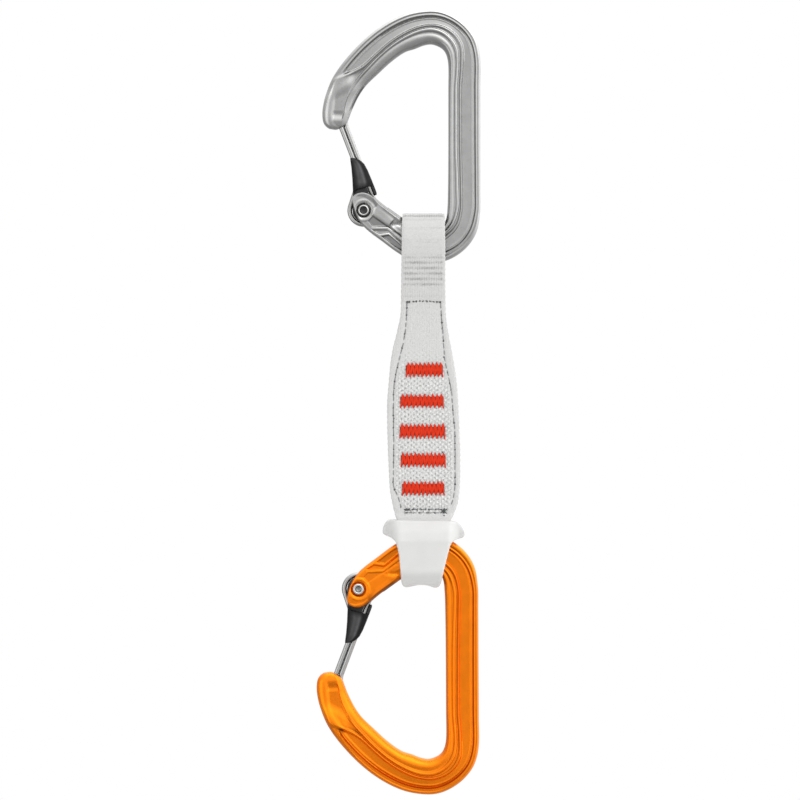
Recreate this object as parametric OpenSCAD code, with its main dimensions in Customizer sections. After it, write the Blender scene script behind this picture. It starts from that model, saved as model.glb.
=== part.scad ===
// Climbing quickdraw: two wire-gate carabiners joined by a sewn webbing sling.
// It hangs from the hanger seat of the upper carabiner, which is the origin. +Z is up, the
// carabiners lie in the XZ plane, and +X points from the gates to the spines. Millimetres.

/* [Carabiners] */
// Size of the lower carabiner, relative to the upper one
lower_size = 1.026; // [0.98:0.002:1.05]
// Tilt of the lower carabiner in its own plane, in degrees
lower_tilt = 0.3; // [0:0.1:1.5]
// Depth of the pockets in both faces, as a share of the half thickness
pocket_depth = 0.34; // [0.2:0.02:0.4]
// Colour of the upper frame
upper_colour = "silver"; // [silver, gray, darkorange]
// Colour of the lower frame
lower_colour = "darkorange"; // [silver, gray, darkorange]

/* [Gate] */
// Diameter of the gate wire
wire_d = 1.74; // [1.6:0.02:1.8]
// Lean of the closed gate from vertical, in degrees
gate_lean = 21; // [20:0.5:22]
// Distance from the hinge axis to the middle of the two strands
shank_offset = 4.1; // [4:0.05:4.2]
// Angle between the strands where they part for the hinge ring
strand_spread = 39; // [36:1:42]
// Width of the slot in the frame's hinge end
hinge_slot_w = 3.6; // [3.5:0.05:3.8]
// Radius of the rivet's shank
rivet_r = 1.5; // [1.4:0.05:1.6]
// Opening angle of a gate in degrees: 0 is closed
gate_open = 0; // [0:1:52]

/* [Sling] */
// Thickness of one layer of webbing
webbing_t = 1.2; // [1:0.05:1.3]
// Thickness of the reinforcing layer between the two webbing layers
core_t = 1.2; // [1:0.05:1.3]
// Inner radius of the upper loop, in which the carabiner's bar turns
upper_loop_r = 8.7; // [8.6:0.05:9.2]
// Inner radius of the lower loop
lower_loop_r = 8.2; // [8.1:0.05:8.6]
// Half depth of the lower loop, which the keeper flattens
lower_loop_flat = 6.3; // [6.2:0.05:7]
// Height of each bar tack
tack_h = 5.4; // [4:0.1:6]

/* [Keeper] */
// Wall of the rubber keeper in front of and behind the lower loop
keeper_wall = 0.9; // [0.7:0.1:1.2]

/* [Hidden] */
$fn = 48;
eps = 0.01;

// Stations along the frame, from the tip of the nose, over the top bend, down the spine and along
// the bottom bar to the hinge. Each row is outer x, outer z, inner x, inner z, half thickness, and
// how much of the pocket's depth is cut there.
STATIONS = [
    [-34.4, -30.7, -33.2, -30.6, 1.5, 0], [-36.4, -30.3, -31.5, -29.8, 2.5, 0],
    [-38.1, -28.7, -29.9, -28.4, 3.1, 0], [-38.7, -26.4, -29.1, -26.4, 3.4, 0],
    [-38.6, -23.0, -27.8, -23.0, 3.5, 0], [-37.5, -18.2, -25.7, -18.7, 3.6, 0],
    [-34.9, -11.9, -23.0, -14.8, 3.8, 0], [-30.0, -5.0, -18.9, -10.8, 4.0, 0.7],
    [-23.0, 2.2, -14.0, -6.3, 4.1, 1], [-15.8, 7.5, -9.2, -2.9, 4.2, 1],
    [-8.6, 10.9, -5.4, -1.6, 4.3, 1], [-2.2, 12.2, -2.3, -0.4, 4.3, 1],
    [3.2, 12.1, 0.5, 0, 4.3, 1], [8.3, 10.2, 3.1, -0.8, 4.2, 1],
    [13.0, 6.7, 4.9, -2.1, 4.1, 1], [16.4, 2.0, 6.0, -4.1, 3.9, 1],
    [18.0, -4.3, 6.6, -7.6, 3.7, 1], [18.1, -15, 6.6, -16.6, 3.5, 1],
    [18.1, -38, 6.6, -38, 3.5, 1], [18.1, -52.6, 6.5, -51.8, 3.5, 1],
    [18.0, -60.5, 6.3, -58.7, 3.5, 1], [16.7, -67.7, 5.7, -63.2, 3.5, 1],
    [13.0, -73.3, 3.6, -65.9, 3.4, 1], [7.2, -77.3, 0.9, -67.2, 3.4, 1],
    [0.4, -78.8, -1.8, -67.3, 3.4, 1], [-5.4, -78.0, -4.1, -66.4, 3.4, 1],
    [-10.8, -75.5, -7.2, -64.3, 3.4, 1], [-17.6, -70.6, -12.2, -60.8, 3.6, 0.8],
    [-22.6, -66.8, -16.9, -57.4, 3.8, 0], [-25.4, -63.7, -20.0, -54.9, 3.9, 0],
    [-27.0, -60.7, -22.1, -53.6, 3.9, 0], [-27.7, -58.0, -23.9, -53.2, 3.8, 0],
    [-28.0, -56.3, -25.7, -53.5, 3.4, 0], [-27.7, -54.9, -26.9, -54.0, 2.4, 0]
];
// The section across the bar: share of the width from the outer edge, and share of the half
// thickness. The two middle points are the pocket's floor.
SECTION = [
    [0, 0.3], [0.025, 0.62], [0.07, 0.9], [0.12, 1], [0.15, 1], [0.18, 1], [0.62, 1],
    [0.66, 1], [0.76, 1], [0.86, 0.93], [0.94, 0.72], [0.985, 0.42], [1, 0.22]
];
POCKET_FIRST = 5;
POCKET_LAST = 6;
STEPS = 2; // rings of the mesh for each station

// Hinge and gate, in the carabiner's own frame and in the gate's frame: x to the right of the
// closed gate, z along it, from the hinge axis.
pivot = [-23.9, -59.8];
wire_r = wire_d / 2;
strand_gap = 0.02;
right_strand = shank_offset + wire_r + strand_gap / 2;
left_strand = shank_offset - wire_r - strand_gap / 2;
ring_r = right_strand;
eye_r = 1.45;
eye_z = 33;
eye_flare = 14;
bend_r = 3;
bend_z = (ring_r + left_strand * cos(strand_spread)) / sin(strand_spread) + bend_r * tan(strand_spread / 2);
wire_clearance = 0.04;
hub_r = ring_r - wire_r - wire_clearance;
hub_w = 3;
hinge_slot_r = 8.8;
nose_slot_w = 2.3;
rivet_head_r = 1.93;
rivet_head_h = 0.5;
rivet_seat_r = 2.9;
rivet_seat_y = 3.4;
rivet_dimple_r = 1.15;
spring_wire = 0.45;
spring_r = 2.3;
spring_turns = 2.5;
spring_pitch = 0.5;

// Sling, in the world frame
sling_x = -2.4;
upper_axis_z = -70.6;
rope_seat = [-0.9, -257.2];
lower_bar = [-2.4, 71.2];
lower_axis_z = rope_seat[1] + lower_size * lower_bar[1];
stack = core_t / 2 + webbing_t;
sewn_top_z = -92.2;
sewn_bottom_z = -169.2;
flex_z = -104.8;
flex_clearance = 0.12;
keeper_clearance = 0.02;
tangent_bite = 0.02; // how far a loop's straight sides run inside its circle
// Centre x, centre z and width of each bar tack
TACKS = [
    [-2.05, -117.1, 13.9], [-2.9, -128.4, 16.2], [-2.7, -139.2, 16.8], [-2.45, -149.6, 16.7],
    [-2.45, -159.8, 15.7]
];
tack_spike = 0.75;
thread_h = 0.35;
thread_w = 0.7;
// Height, left edge and right edge of the webbing down its length
OUTLINE = [
    [-60, -9.9, 5.2], [-63, -10.1, 5.3], [-72, -10.2, 5.4], [-90, -10.4, 5.5], [-97, -10.5, 5.7],
    [-100.6, -11.2, 6.1], [-104.8, -12.2, 6.8], [-109.3, -13.4, 7.7], [-115, -14.3, 8.7],
    [-121, -14.8, 9.6], [-129, -15.5, 10.2], [-138, -15.4, 10.6], [-147, -15.1, 10.9],
    [-156, -14.7, 10.9], [-161, -14.4, 10.6], [-164, -13.8, 10.3], [-167, -13.2, 9.5],
    [-170, -12.3, 8], [-173, -11, 6], [-177, -9.9, 4.2], [-184, -9.7, 3.5], [-196, -9.7, 3.5]
];
// The same for the two lines of stitches: those of the neck, and those of the body
NECK_LINE = [[-93, -8.4, 3.9], [-95.6, -8.3, 3.9], [-102.6, -8.8, 4.5]];
BODY_LINE = [
    [-107.3, -9.5, 4.8], [-114.3, -11.3, 5.4], [-117.9, -12.1, 6.3], [-121.5, -12.8, 7.1],
    [-125.5, -13.1, 7.8], [-131.6, -13.2, 8.2], [-138.1, -13.1, 8.9], [-146, -13, 9],
    [-159, -13.3, 9], [-163.3, -11.3, 8.5], [-166.5, -10.4, 7.3]
];

// ---- Curves ----

function lerp(a, b, u) = a + (b - a) * u;
function outer_at(row) = [row[0], row[1]];
function inner_at(row) = [row[2], row[3]];
function middle_at(row) = (outer_at(row) + inner_at(row)) / 2;
function gap(i) = norm(middle_at(STATIONS[i + 1]) - middle_at(STATIONS[i]));
// Slope of every column of the table at station i, along the middle of the bar
function slope(i) =
    i == 0 ? (STATIONS[1] - STATIONS[0]) / gap(0)
    : i == len(STATIONS) - 1 ? (STATIONS[i] - STATIONS[i - 1]) / gap(i - 1)
    : (STATIONS[i + 1] - STATIONS[i - 1]) / (gap(i - 1) + gap(i));
// Cubic blend from station i to the next one
function station(i, u) =
    STATIONS[i] * (2 * pow(u, 3) - 3 * pow(u, 2) + 1)
    + STATIONS[i + 1] * (3 * pow(u, 2) - 2 * pow(u, 3))
    + slope(i) * gap(i) * (pow(u, 3) - 2 * pow(u, 2) + u)
    + slope(i + 1) * gap(i) * (pow(u, 3) - pow(u, 2));
ROWS = [
    for (i = [0:len(STATIONS) - 2]) for (k = [0:STEPS - 1]) station(i, k / STEPS),
    STATIONS[len(STATIONS) - 1]
];
function is_pocket(j) = j >= POCKET_FIRST && j <= POCKET_LAST;
function section_y(row, j) =
    row[4] * (SECTION[j][1] - (is_pocket(j) ? pocket_depth * max(0, min(1, row[5])) : 0));
function section_point(row, j, side) =
    let (p = lerp(outer_at(row), inner_at(row), SECTION[j][0])) [p[0], side * section_y(row, j), p[1]];
function ring_of(row) = [
    for (j = [0:len(SECTION) - 1]) section_point(row, j, -1),
    for (j = [len(SECTION) - 1:-1:0]) section_point(row, j, 1)
];

// A tube or bar through rings of equal length, closed at both ends
module skin(rings) {
    n = len(rings[0]);
    last = len(rings) - 1;
    sides = [
        for (i = [0:last - 1]) for (j = [0:n - 1])
            let (a = i * n + j, b = i * n + (j + 1) % n)
            each [[a, a + n, b], [b, a + n, b + n]]
    ];
    first_cap = [for (j = [0:n - 1]) j];
    last_cap = [for (j = [n - 1:-1:0]) last * n + j];
    polyhedron([for (r = rings) each r], concat([first_cap], sides, [last_cap]), convexity = 10);
}

// ---- Carabiner ----

module at_pivot() {
    translate([pivot[0], 0, pivot[1]]) children();
}

module in_gate_frame(open = gate_open) {
    at_pivot() rotate([0, open - gate_lean, 0]) children();
}

// A cylinder along Y, centred on the mid-plane
module disc(r, w, x = 0, z = 0) {
    translate([x, 0, z]) rotate([90, 0, 0]) cylinder(r = r, h = w, center = true);
}

module nose_slot() {
    in_gate_frame(0) {
        intersection() {
            disc(norm([shank_offset, eye_z]) + eye_r + wire_r + 0.3, nose_slot_w, $fn = 96);
            translate([left_strand - wire_r - 0.15, -nose_slot_w, 20]) cube([20, 2 * nose_slot_w, 20]);
        }
        disc(eye_r + wire_r + 0.2, nose_slot_w, shank_offset, eye_z);
    }
}

module hinge_cuts() {
    at_pivot() {
        disc(hinge_slot_r, hinge_slot_w);
        disc(rivet_r, 20);
        for (side = [-1, 1]) translate([0, side * (rivet_seat_y + 2), 0]) disc(rivet_seat_r, 4);
        translate([0, -hinge_slot_w / 2, 0]) disc(0.3, 1.6, spring_r);
    }
}

module frame(shade) {
    color(shade) difference() {
        skin([for (row = ROWS) ring_of(row)]);
        nose_slot();
        hinge_cuts();
    }
}

// Points of an arc in the gate's plane, each with the heading of the wire there
function bend(x, z, r, a0, a1, count) = [
    for (k = [0:count]) let (a = lerp(a0, a1, k / count))
        [x + r * cos(a), z + r * sin(a), a + (a1 > a0 ? 90 : -90)]
];

// One wire: the ring round the hub, the left strand, the eye in the nose and the right strand
module gate_wire() {
    sides = 16;
    half_gap = right_strand - shank_offset;
    flare_z = eye_z - (eye_r - half_gap * cos(eye_flare)) / sin(eye_flare);
    flare_start = flare_z - bend_r * tan(eye_flare / 2);
    flare_x = half_gap + bend_r;
    path = concat(
        bend(0, 0, ring_r, 354, 180 - strand_spread, 18),
        bend(left_strand - bend_r, bend_z, bend_r, -strand_spread, 0, 4),
        bend(shank_offset - flare_x, flare_start, bend_r, 0, eye_flare, 2),
        bend(shank_offset, eye_z, eye_r, 180 + eye_flare, -eye_flare, 14),
        bend(shank_offset + flare_x, flare_start, bend_r, 180 - eye_flare, 180, 2),
        [[right_strand, 0, -90]]
    );
    rings = [for (p = path) [
        for (k = [0:sides - 1]) let (b = k * 360 / sides, q = wire_r * cos(b))
            [p[0] + q * sin(p[2]), wire_r * sin(b), p[1] - q * cos(p[2])]
    ]];
    color("lightgray") in_gate_frame() skin(rings);
}

// Room for the wire inside the sleeve
module wire_channels() {
    r = wire_r + wire_clearance / 2;
    for (x = [left_strand, right_strand]) translate([x, 0, 0]) cylinder(r = r, h = 40, $fn = 24);
    tangent = [-ring_r * cos(strand_spread), ring_r * sin(strand_spread)];
    translate([tangent[0], 0, tangent[1]]) rotate([0, strand_spread, 0]) cylinder(r = r, h = 16, $fn = 24);
    half = strand_spread / 2;
    chord_r = bend_r * (1 + cos(half)) / 2;
    translate([left_strand - bend_r + chord_r * cos(half), 0, bend_z - chord_r * sin(half)])
        rotate([0, half, 0]) cylinder(r = wire_r + 0.1, h = 2.6, center = true, $fn = 24);
}

// The moulded sleeve: a hood round the strands, and a tongue that ends in the hub on the rivet
module gate_sleeve() {
    hood = [
        [2.15, 19.4], [1.4, 16], [0.3, 12.2], [-0.7, 9], [-1.5, 7.1], [-0.2, 8.3],
        [5.8, 7.6], [6.7, 7.6], [6.6, 13], [6.3, 15.6], [4.9, 17.9]
    ];
    tongue = [[hub_r, 0], [hub_r, 9], [2, 9], [-hub_r * cos(strand_spread), hub_r * sin(strand_spread)]];
    hood_base = 2.6;
    hood_tip = 1.45;
    color("dimgray") in_gate_frame() difference() {
        union() {
            intersection() {
                rotate([90, 0, 0]) linear_extrude(8, center = true) polygon(hood);
                rotate([90, 0, 90]) linear_extrude(30, center = true)
                    polygon([[-hood_base, 6], [-hood_tip, 20], [hood_tip, 20], [hood_base, 6]]);
            }
            rotate([90, 0, 0]) linear_extrude(hub_w, center = true) polygon(tongue);
            disc(hub_r, hub_w);
            translate([right_strand + wire_r + wire_clearance, -hub_w / 2, 3.6]) cube([0.75, hub_w, 4.4]);
        }
        wire_channels();
        disc(rivet_r + 0.06, 20);
        translate([0, -hub_w / 2, 0]) disc(spring_r + 0.45, 3.6);
        rotate([0, gate_lean, 0]) translate([-spring_r - 1.2, -0.6, -0.35]) cube([1.5, 0.9, 0.7]);
    }
}

function coil_point(a, r) = [r * cos(a), -1.45 + spring_pitch * (a / 360) + spring_wire / 2, r * sin(a)];

// A torsion spring round the rivet: one end turns out into a hole in the frame, the other turns
// outward into the hub
module return_spring() {
    sides = 6;
    count = 18;
    rings = [
        for (i = [0:count * spring_turns]) let (a = i * 360 / count, c = coil_point(a, spring_r)) [
            for (k = [0:sides - 1])
                let (b = k * 360 / sides, q = spring_wire / 2)
                [c[0] + q * cos(b) * cos(a), c[1] + q * sin(b), c[2] + q * cos(b) * sin(a)]
        ]
    ];
    color("gainsboro") at_pivot() {
        skin(rings);
        translate([spring_r, -2.3, 0]) rotate([-90, 0, 0]) cylinder(r = 0.2, h = 1.2, $fn = 16);
        translate([-spring_r, coil_point(360 * spring_turns, 0)[1], 0]) rotate([0, -90, 0])
            cylinder(r = 0.2, h = 1, $fn = 16);
    }
}

module gate_rivet() {
    length = 2 * (rivet_seat_y + rivet_head_h);
    color("whitesmoke") at_pivot() difference() {
        union() {
            disc(rivet_r, 2 * rivet_seat_y + eps);
            for (side = [-1, 1])
                translate([0, side * (rivet_seat_y + rivet_head_h / 2), 0]) disc(rivet_head_r, rivet_head_h);
        }
        for (side = [-1, 1]) translate([0, side * length / 2, 0]) disc(rivet_dimple_r, 1.2);
    }
}

module lower_place() {
    translate([rope_seat[0], 0, rope_seat[1]]) rotate([0, -lower_tilt, 0]) rotate([180, 0, 0])
        scale(lower_size) children();
}

// ---- Sling ----

module across_sling(width = 60) {
    translate([sling_x - width / 2, 0, 0]) rotate([90, 0, 90]) linear_extrude(width) children();
}

// A strip between two heights, of half thickness y
module layer(y, z0, z1) {
    across_sling() translate([-y, min(z0, z1)]) square([2 * y, abs(z1 - z0)]);
}

// A solid teardrop round [0, z], no wider than flat each side, with its tip of half width y
module teardrop(z, r, flat, y, tip) {
    up = z > tip ? 1 : -1;
    rim = r - tangent_bite;
    opening = acos(rim / norm([y, z - tip])) + atan2(y, abs(z - tip));
    side = [rim * sin(opening), z - up * rim * cos(opening)];
    intersection() {
        union() {
            across_sling() translate([0, z]) circle(r = r);
            across_sling() polygon([[y, tip], side, [-side[0], side[1]], [-y, tip]]);
        }
        layer(flat, min(tip, z - r) - 1, max(tip, z + r) + 1);
    }
}

// A plate parallel to the faces, inside the left and right edges in rows, less an inset
module outline_plate(rows, depth, inset = 0) {
    rotate([90, 0, 0]) linear_extrude(depth, center = true) polygon(concat(
        [for (row = rows) [row[2] - inset, row[0]]],
        [for (i = [len(rows) - 1:-1:0]) [rows[i][1] + inset, rows[i][0]]]
    ));
}

// A loop of webbing, with the layers that are sewn together from its tip to end
module loop(z, r, flat, tip, end, open_core) {
    lap = tip > end ? 0.3 : -0.3;
    difference() {
        union() {
            teardrop(z, r + webbing_t, flat + webbing_t, stack, tip);
            layer(stack, tip + lap, end);
        }
        teardrop(z, r, flat, core_t / 2, tip);
        if (open_core) layer(core_t / 2, tip + lap, end);
    }
}

// The round end of the upper half, on which the sling bends
module upper_loop_webbing() {
    color("ghostwhite") intersection() {
        union() {
            loop(upper_axis_z, upper_loop_r, 2 * upper_loop_r, sewn_top_z, flex_z, false);
            across_sling() translate([0, flex_z]) circle(r = stack);
        }
        outline_plate(OUTLINE, 40);
    }
}

// What the bend needs free in the lower half: the round end, and a bevel on each face
module flex_room() {
    across_sling() translate([0, flex_z]) circle(r = stack + flex_clearance);
    across_sling() polygon([
        [0, flex_z + flex_clearance], [-4, flex_z - 4], [-4, flex_z + 4], [4, flex_z + 4], [4, flex_z - 4]
    ]);
}

module tack_holes() {
    for (tack = TACKS) tack_block(tack, 20);
}

module body_webbing() {
    color("ghostwhite") intersection() {
        difference() {
            loop(lower_axis_z, lower_loop_r, lower_loop_flat, sewn_bottom_z, flex_z, true);
            flex_room();
            tack_holes();
        }
        outline_plate(OUTLINE, 40);
    }
}

module sling_core() {
    color("gainsboro") difference() {
        intersection() {
            outline_plate(OUTLINE, core_t, 1.5);
            layer(5, sewn_bottom_z + 0.5, flex_z);
        }
        flex_room();
        tack_holes();
    }
}

// A block of thread through all the layers, at x, z, with its width
module tack_block(tack, depth) {
    translate([tack[0], 0, tack[1]]) cube([tack[2], depth, tack_h - 2 * tack_spike], center = true);
}

module bar_tack(i) {
    color("orangered") {
        tack_block(TACKS[i], 2 * (stack + thread_h));
        for (side = [-1, 1]) translate([TACKS[i][0], side * (stack + thread_h / 2), TACKS[i][1]])
            cube([TACKS[i][2], thread_h, tack_h], center = true);
    }
}

// Thread on both faces, from a flat drawing of its line
module on_faces() {
    for (side = [-1, 1]) translate([0, side * (stack + thread_h / 2), 0]) rotate([90, 0, 0])
        linear_extrude(thread_h, center = true) children();
}

module thread_row(z, x0, x1) {
    translate([x0, z - thread_w / 2]) square([x1 - x0, thread_w]);
}

// Column k of the rows, drawn as a line of thread
module thread_line(rows, k) {
    polygon(concat(
        [for (row = rows) [row[k] + thread_w / 2, row[0]]],
        [for (i = [len(rows) - 1:-1:0]) [rows[i][k] - thread_w / 2, rows[i][0]]]
    ));
}

module edge_stitching() {
    color("darkgray") on_faces() {
        thread_line(BODY_LINE, 1);
        thread_line(BODY_LINE, 2);
    }
}

module upper_stitching() {
    color("darkgray") on_faces() {
        thread_row(-92.8, -8.75, 4.25);
        thread_line(NECK_LINE, 1);
        thread_line(NECK_LINE, 2);
    }
}

module lower_stitching() {
    color("gray") on_faces() {
        thread_row(-167.3, -9.7, 6.1);
        thread_row(-168.6, -9.7, 6.1);
    }
}

// ---- Keeper ----

KEEPER = [
    [-11.9, -171.2], [-13.7, -170.8], [-15.5, -171.2], [-16.7, -173.2], [-17.3, -175.4],
    [-16.8, -176.5], [-15, -176.8], [-13.2, -177.9], [-12.3, -178.7], [-11.2, -183.1],
    [-10.7, -188.8], [-10.4, -192.4], [-10.1, -194.6], [-9.3, -195.3], [-7.7, -195.1],
    [-4.2, -194.3], [-1, -194.4], [1.7, -195.5], [3.1, -195.3], [3.8, -194.2], [4.2, -192.4],
    [5.7, -185.9], [7, -180.9], [7.5, -179.2], [9.3, -177.9], [11.2, -177.7], [12.5, -177.2],
    [12.5, -175.4], [10.9, -172.6], [9.5, -171.7], [7.9, -171.5]
];

module keeper() {
    depth = 2 * (lower_loop_flat + webbing_t + keeper_wall);
    color("white") difference() {
        intersection() {
            rotate([90, 0, 0]) linear_extrude(depth, center = true) polygon(KEEPER);
            across_sling() polygon(concat(
                [
                    [4, -171], [depth / 2 - 1.5, -174], [depth / 2, -178], [depth / 2, -191],
                    [depth / 2 - 2.5, -196]
                ],
                [
                    [-depth / 2 + 2.5, -196], [-depth / 2, -191], [-depth / 2, -178],
                    [-depth / 2 + 1.5, -174], [-4, -171]
                ]
            ));
        }
        teardrop(
            lower_axis_z,
            lower_loop_r + webbing_t + keeper_clearance,
            lower_loop_flat + webbing_t + keeper_clearance,
            stack + keeper_clearance,
            sewn_bottom_z
        );
    }
}

frame(upper_colour);  // upper_frame
gate_wire();  // upper_gate_wire
gate_sleeve();  // upper_gate_sleeve
return_spring();  // upper_return_spring
gate_rivet();  // upper_gate_rivet
lower_place() frame(lower_colour);  // lower_frame
lower_place() gate_wire();  // lower_gate_wire
lower_place() gate_sleeve();  // lower_gate_sleeve
lower_place() return_spring();  // lower_return_spring
lower_place() gate_rivet();  // lower_gate_rivet
upper_loop_webbing();
upper_stitching();
body_webbing();
sling_core();
bar_tack(0);  // bar_tack_1
bar_tack(1);  // bar_tack_2
bar_tack(2);  // bar_tack_3
bar_tack(3);  // bar_tack_4
bar_tack(4);  // bar_tack_5
edge_stitching();
lower_stitching();
keeper();
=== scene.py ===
"""Looks of a climbing quickdraw: two forged wire-gate carabiners and a sewn webbing sling.

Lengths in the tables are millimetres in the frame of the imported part; meshes are made in metres.
"""

import math

import bpy
import bmesh
import numpy as np
from mathutils import Matrix, Vector


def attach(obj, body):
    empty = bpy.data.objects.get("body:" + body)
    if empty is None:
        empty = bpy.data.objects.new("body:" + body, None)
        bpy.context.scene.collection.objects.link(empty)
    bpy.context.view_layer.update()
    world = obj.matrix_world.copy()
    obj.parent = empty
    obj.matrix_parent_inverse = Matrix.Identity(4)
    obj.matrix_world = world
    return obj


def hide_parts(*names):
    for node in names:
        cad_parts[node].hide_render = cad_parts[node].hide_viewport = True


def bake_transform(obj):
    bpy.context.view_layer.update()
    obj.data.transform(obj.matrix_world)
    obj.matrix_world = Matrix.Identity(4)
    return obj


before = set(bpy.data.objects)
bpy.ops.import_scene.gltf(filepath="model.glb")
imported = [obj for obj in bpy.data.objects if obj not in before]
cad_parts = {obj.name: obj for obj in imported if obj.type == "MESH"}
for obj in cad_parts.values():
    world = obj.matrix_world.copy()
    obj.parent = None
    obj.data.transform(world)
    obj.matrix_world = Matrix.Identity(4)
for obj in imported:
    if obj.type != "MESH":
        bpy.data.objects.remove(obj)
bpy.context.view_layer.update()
MM = 0.001

# ---------------------------------------------------------------- node trees


class Nodes:
    """A node tree with short ways to add nodes."""

    def __init__(self, tree):
        self.tree = tree

    def put(self, socket, value):
        if isinstance(value, bpy.types.NodeSocket):
            self.tree.links.new(value, socket)
        else:
            socket.default_value = value

    def node(self, kind, inputs=(), operation=None):
        """A new node; inputs holds a value or another node's output for each socket's name or number."""
        node = self.tree.nodes.new("ShaderNode" + kind)
        if operation:
            node.operation = operation
        for socket, value in dict(inputs).items():
            self.put(node.inputs[socket], value)
        return node

    def math(self, operation, *values):
        return self.node("Math", enumerate(values), operation).outputs[0]

    def axes(self, kind):
        """X, Y and Z of one kind of texture coordinate."""
        return self.node("SeparateXYZ", {0: self.node("TexCoord").outputs[kind]}).outputs

    def noise(self, scale, detail):
        place = self.node("TexCoord").outputs["Object"]
        return self.node("TexNoise", {"Vector": place, "Scale": scale, "Detail": detail}).outputs["Fac"]

    def remap(self, value, low, high, low_in=0.3, high_in=0.7):
        inputs = {"Value": value, "From Min": low_in, "From Max": high_in, "To Min": low, "To Max": high}
        return self.node("MapRange", inputs).outputs[0]

    def ramp(self, value, stops):
        node = self.node("ValToRGB", {"Fac": value})
        elements = node.color_ramp.elements
        while len(elements) < len(stops):
            elements.new(0.5)
        for element, (position, colour) in zip(elements, stops):
            element.position = position
            element.color = (*colour, 1.0)
        return node.outputs["Color"]

    def bump(self, height, depth_mm):
        return self.node("Bump", {"Height": height, "Distance": depth_mm * MM}).outputs["Normal"]

    def scaled(self, colour, factor):
        product = self.node("VectorMath", {0: colour, "Scale": factor}, "SCALE").outputs[0]
        return self.node("VectorMath", {0: product, 1: (1.0, 1.0, 1.0)}, "MINIMUM").outputs[0]

    def attribute(self, name):
        node = self.node("Attribute")
        node.attribute_name = name
        return node.outputs["Fac"]


class Paint(Nodes):
    """The nodes of a new material with one Principled shader."""

    def __init__(self, name):
        self.material = bpy.data.materials.new(name)
        self.material.use_nodes = True
        super().__init__(self.material.node_tree)

    def set(self, **values):
        """Sets the shader's inputs, such as base_color, and gives the material."""
        for key, value in values.items():
            socket = key.replace("_", " ").title().replace("Ior", "IOR")
            self.put(self.tree.nodes["Principled BSDF"].inputs[socket], value)
        return self.material


# ---------------------------------------------------------------- camera, light and stage

VIEW_X, VIEW_Z = -10.8, -128.0
CAMERA_DISTANCE = 1600.0
FIELD = 288.0
SENSOR = 36.0
# Brightness of the light tent, by how nearly a direction is its brightest one
SKY_DIRECTION = (0.52, 0.0, 0.85)
SKY_TOP = 2.6
SKY = [(-1.0, 0.44), (-0.7, 0.50), (-0.35, 0.62), (0.0, 0.84), (0.3, 1.36), (0.7, 2.25), (1.0, 2.6)]


def aim(obj, position):
    """Put an object at a position in millimetres, looking at the middle of the view."""
    bpy.context.scene.collection.objects.link(obj)
    obj.location = Vector(position) * MM
    direction = Vector((VIEW_X, 0.0, VIEW_Z)) * MM - obj.location
    obj.rotation_mode = "QUATERNION"
    obj.rotation_quaternion = direction.to_track_quat("-Z", "Y")


def make_camera():
    data = bpy.data.cameras.new("camera")
    data.sensor_width = SENSOR
    data.lens = SENSOR * CAMERA_DISTANCE / FIELD
    data.clip_start, data.clip_end = 0.05, 20.0
    camera = bpy.data.objects.new("camera", data)
    aim(camera, (VIEW_X, -CAMERA_DISTANCE, VIEW_Z))
    bpy.context.scene.camera = camera


def softbox(name, position, size, power):
    data = bpy.data.lights.new(name, "AREA")
    data.shape = "RECTANGLE"
    data.size, data.size_y = size[0] * MM, size[1] * MM
    data.energy = power
    aim(bpy.data.objects.new(name, data), position)


def make_light():
    """A light tent: brightest above and to the right, softer in front, darker below and behind."""
    softbox("key_above_right", (520, -700, 900), (700, 700), 2.0)
    softbox("fill_left", (-900, -800, -300), (900, 1100), 3.4)
    world = bpy.data.worlds.new("studio")
    world.use_nodes = True
    sky = Nodes(world.node_tree)
    direction = sky.node("TexCoord").outputs["Generated"]
    tilt = sky.node("VectorMath", {0: direction, 1: SKY_DIRECTION}, "DOT_PRODUCT").outputs["Value"]
    stops = [((towards + 1) / 2, [value / SKY_TOP] * 3) for towards, value in SKY]
    background = world.node_tree.nodes["Background"].inputs
    sky.put(background["Color"], sky.ramp(sky.remap(tilt, 0.0, 1.0, -1.0, 1.0), stops))
    sky.put(background["Strength"], sky.remap(sky.axes("Generated")[1], SKY_TOP, 0.95 * SKY_TOP, 0.0, 0.7))
    bpy.context.scene.world = world
    bpy.context.scene.view_settings.view_transform = "Standard"


def make_stage():
    bpy.ops.mesh.primitive_uv_sphere_add(segments=64, ring_count=32, radius=4.2)
    dome = bpy.context.object
    dome.name = "backdrop_dome"
    white = Paint("backdrop_white")
    white.tree.nodes.clear()
    glow = white.node("Emission", {"Color": (1, 1, 1, 1)})
    white.node("OutputMaterial", {"Surface": glow.outputs[0]})
    dome.data.materials.append(white.material)
    dome.visible_diffuse = dome.visible_glossy = False
    dome.visible_shadow = dome.visible_transmission = False
    bpy.ops.mesh.primitive_plane_add(size=2.4, location=(0, 0, -0.52))
    floor = bpy.context.object
    floor.name = "pale_floor"
    floor.data.materials.append(Paint("pale_floor").set(base_color=(0.86, 0.86, 0.85, 1), roughness=0.8))
    floor.visible_glossy = False


make_camera()
make_light()
make_stage()

# ---------------------------------------------------------------- materials

THREAD_TWIST = 0.5


def shade(colour, factor):
    return tuple(min(1.0, c * factor) for c in colour)


def shades(colour, *stops):
    """Stops of a ramp, from positions and factors of one colour."""
    return [(position, shade(colour, factor)) for position, factor in stops]


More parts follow.
